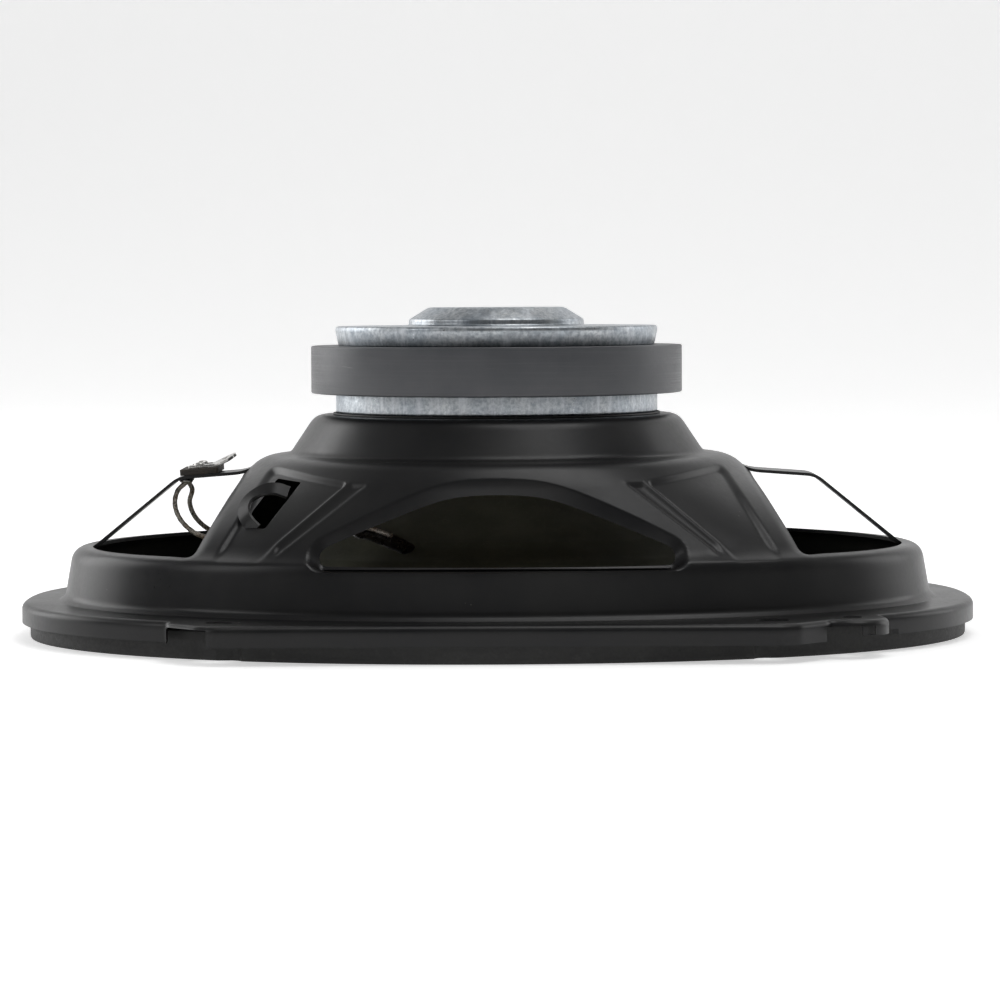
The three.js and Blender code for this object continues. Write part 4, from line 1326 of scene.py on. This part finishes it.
low, high = size("tweeter_yoke")
tweeter_yoke = rounded_lathe(
    "yoke_cup",
    [(0, 11.7), (10.6, 11.7), (10.6, low[2]), (high[0], low[2]), (high[0], high[2]), (0, high[2])],
    [0, 0.4, 0.15, 0.2, 0.8, 0], 96)
install(tweeter_yoke, "frame", "zinc_plate", ZINC, "tweeter_yoke")

low, high = size("tweeter_pole_plate")
pole_plate = rounded_lathe(
    "pole_plate_fine", ring_section(0, high[0], low[2], high[2]), [0, 0.2, 0.2, 0], 96)
install(pole_plate, "frame", "zinc_plate", ZINC, "tweeter_pole_plate")


def make_dome():
    """Silk dome with a small roll outside the coil and a flat rim."""
    front = [(0.0, 2.1)]
    for k in range(1, 19):
        turn = math.pi / 2 * 0.94 * k / 18
        front.append((9.5 * math.sin(turn), 4.5 - 2.4 * math.cos(turn)))
    for k in range(1, 9):
        turn = math.pi * k / 8
        front.append((9.5 + 1.0 * (1 - math.cos(turn)), 4.36 - 0.45 * math.sin(turn)))
    front.append((12.4, 4.4))
    thick = 0.22
    return lathe("silk_dome", [*front, *[(r, z + thick) for r, z in front[::-1]]], 120, 70)


install(make_dome(), "tweeter_diaphragm", "silk", SILK, "tweeter_dome")
fine_ring("tweeter_winding", "tweeter_coil", 9.0, COPPER, "copper_wire", "tweeter_diaphragm", 0.1, 96)


def make_guard():
    """The guard: a waisted rim, a halo and three bars that cross over the dome, all with rounded edges."""
    rim = rounded_lathe(
        "guard_rim",
        [(13.2, 3.5), (13.2, 1.9), (14.2, 1.45), (16.2, 1.2), (TW_R - 1.2, 1.2), (TW_R, 2.0), (TW_R, 3.5)],
        [0.1, 0.5, 0.5, 0.5, 0.7, 0.5, 0.15], 128)
    halo = rounded_lathe("halo", [(13.0, 1.75), (13.0, 0.6), (15.0, 0.6), (15.0, 1.75)],
                         [0.1, 0.4, 0.4, 0.1], 128)
    boolean(rim, halo, "UNION")
    hub = rounded_lathe("hub", [(0, 1.4), (3, 1.4), (3, 0.6), (0, 0.6)], [0, 0.1, 0.3, 0], 64)
    boolean(rim, hub, "UNION")
    for k in range(3):
        corners = [(-0.7, 0.6), (0.7, 0.6), (0.7, 1.4), (-0.7, 1.4)]
        section = rounded_outline(corners, [0.3, 0.3, 0.12, 0.12], 4)
        bar = prism("bar", section,
                    -14, 14, "Y")
        bar.data.transform(Matrix.Rotation(math.pi / 3 * k + math.pi / 6, 4, "Z"))
        boolean(rim, bar, "UNION")
    finish_normals(rim, 42)
    return rim


install(make_guard(), "frame", "black_plastic", PLASTIC, "tweeter_guard")

# ---------------------------------------------------------------- stage and light

bpy.ops.mesh.primitive_plane_add(size=1)
floor = bpy.context.active_object
floor.name = "floor"


def make_stage(obj):
    """A pale floor that curves up into a far backdrop."""
    line = fillet([(-3.0, 0.0), (3.2, 0.0), (3.2, 4.0)], [0, 1.4, 0], 24)
    verts, faces = [], []
    for y, z in line:
        verts += [(-6, y, z), (6, y, z)]
    for k in range(len(line) - 1):
        faces.append((2 * k, 2 * k + 1, 2 * k + 3, 2 * k + 2))
    mesh = bpy.data.meshes.new("floor")
    mesh.from_pydata(verts, [], faces)
    mesh.shade_smooth()
    obj.data = mesh
    obj.location = (0, 0, -0.00005)
    m = bpy.data.materials.new("floor")
    m.use_nodes = True
    shader = m.node_tree.nodes["Principled BSDF"]
    shader.inputs["Base Color"].default_value = (0.93, 0.93, 0.93, 1)
    shader.inputs["Roughness"].default_value = 0.9
    shader.inputs["Specular IOR Level"].default_value = 0.1
    shader.inputs["Emission Color"].default_value = (1, 1, 1, 1)
    shader.inputs["Emission Strength"].default_value = 0.52
    mesh.materials.append(m)


make_stage(floor)


def area_light(name, place, aim, width, height, power, color=(1, 1, 1)):
    data = bpy.data.lights.new(name, "AREA")
    data.shape = "RECTANGLE"
    data.size, data.size_y = width, height
    data.energy = power
    data.color = color
    light = bpy.data.objects.new(name, data)
    bpy.context.scene.collection.objects.link(light)
    place, aim = Vector(place), Vector(aim)
    light.location = place
    light.rotation_euler = (aim - place).to_track_quat("-Z", "Y").to_euler()
    return light


area_light("top_box", (0.30, -0.15, 1.25), (0, 0, 0), 0.75, 0.75, 5)
area_light("left_back_box", (-1.45, 0.75, 0.55), (0, 0, 0.03), 1.2, 1.0, 9)
area_light("left_front_box", (-1.3, -0.75, 0.8), (0, 0, 0.03), 0.5, 0.7, 3)
area_light("right_back_box", (1.5, 0.6, 0.55), (0, 0, 0.03), 0.8, 0.8, 3.5)

world = bpy.data.worlds.new("world")
bpy.context.scene.world = world
world.use_nodes = True


def light_world(tree):
    """Soft studio surround: bright overhead and at the back, dim where the photographer stands."""
    background = tree.nodes["Background"]
    background.inputs["Color"].default_value = (1, 1, 1, 1)
    coords = tree.nodes.new("ShaderNodeTexCoord")
    split = tree.nodes.new("ShaderNodeSeparateXYZ")
    tree.links.new(coords.outputs["Generated"], split.inputs["Vector"])
    ramps = []
    for output, low, high, to_low, to_high in (("Z", -0.1, 0.9, 0.03, 0.17), ("Y", -0.9, 0.7, 0.0, 0.10)):
        node = tree.nodes.new("ShaderNodeMapRange")
        for key, value in (("From Min", low), ("From Max", high), ("To Min", to_low), ("To Max", to_high)):
            node.inputs[key].default_value = value
        tree.links.new(split.outputs[output], node.inputs["Value"])
        ramps.append(node.outputs["Result"])
    total = tree.nodes.new("ShaderNodeMath")
    total.operation = "ADD"
    tree.links.new(ramps[0], total.inputs[0])
    tree.links.new(ramps[1], total.inputs[1])
    tree.links.new(total.outputs[0], background.inputs["Strength"])


light_world(world.node_tree)
bpy.context.scene.view_settings.view_transform = "Standard"
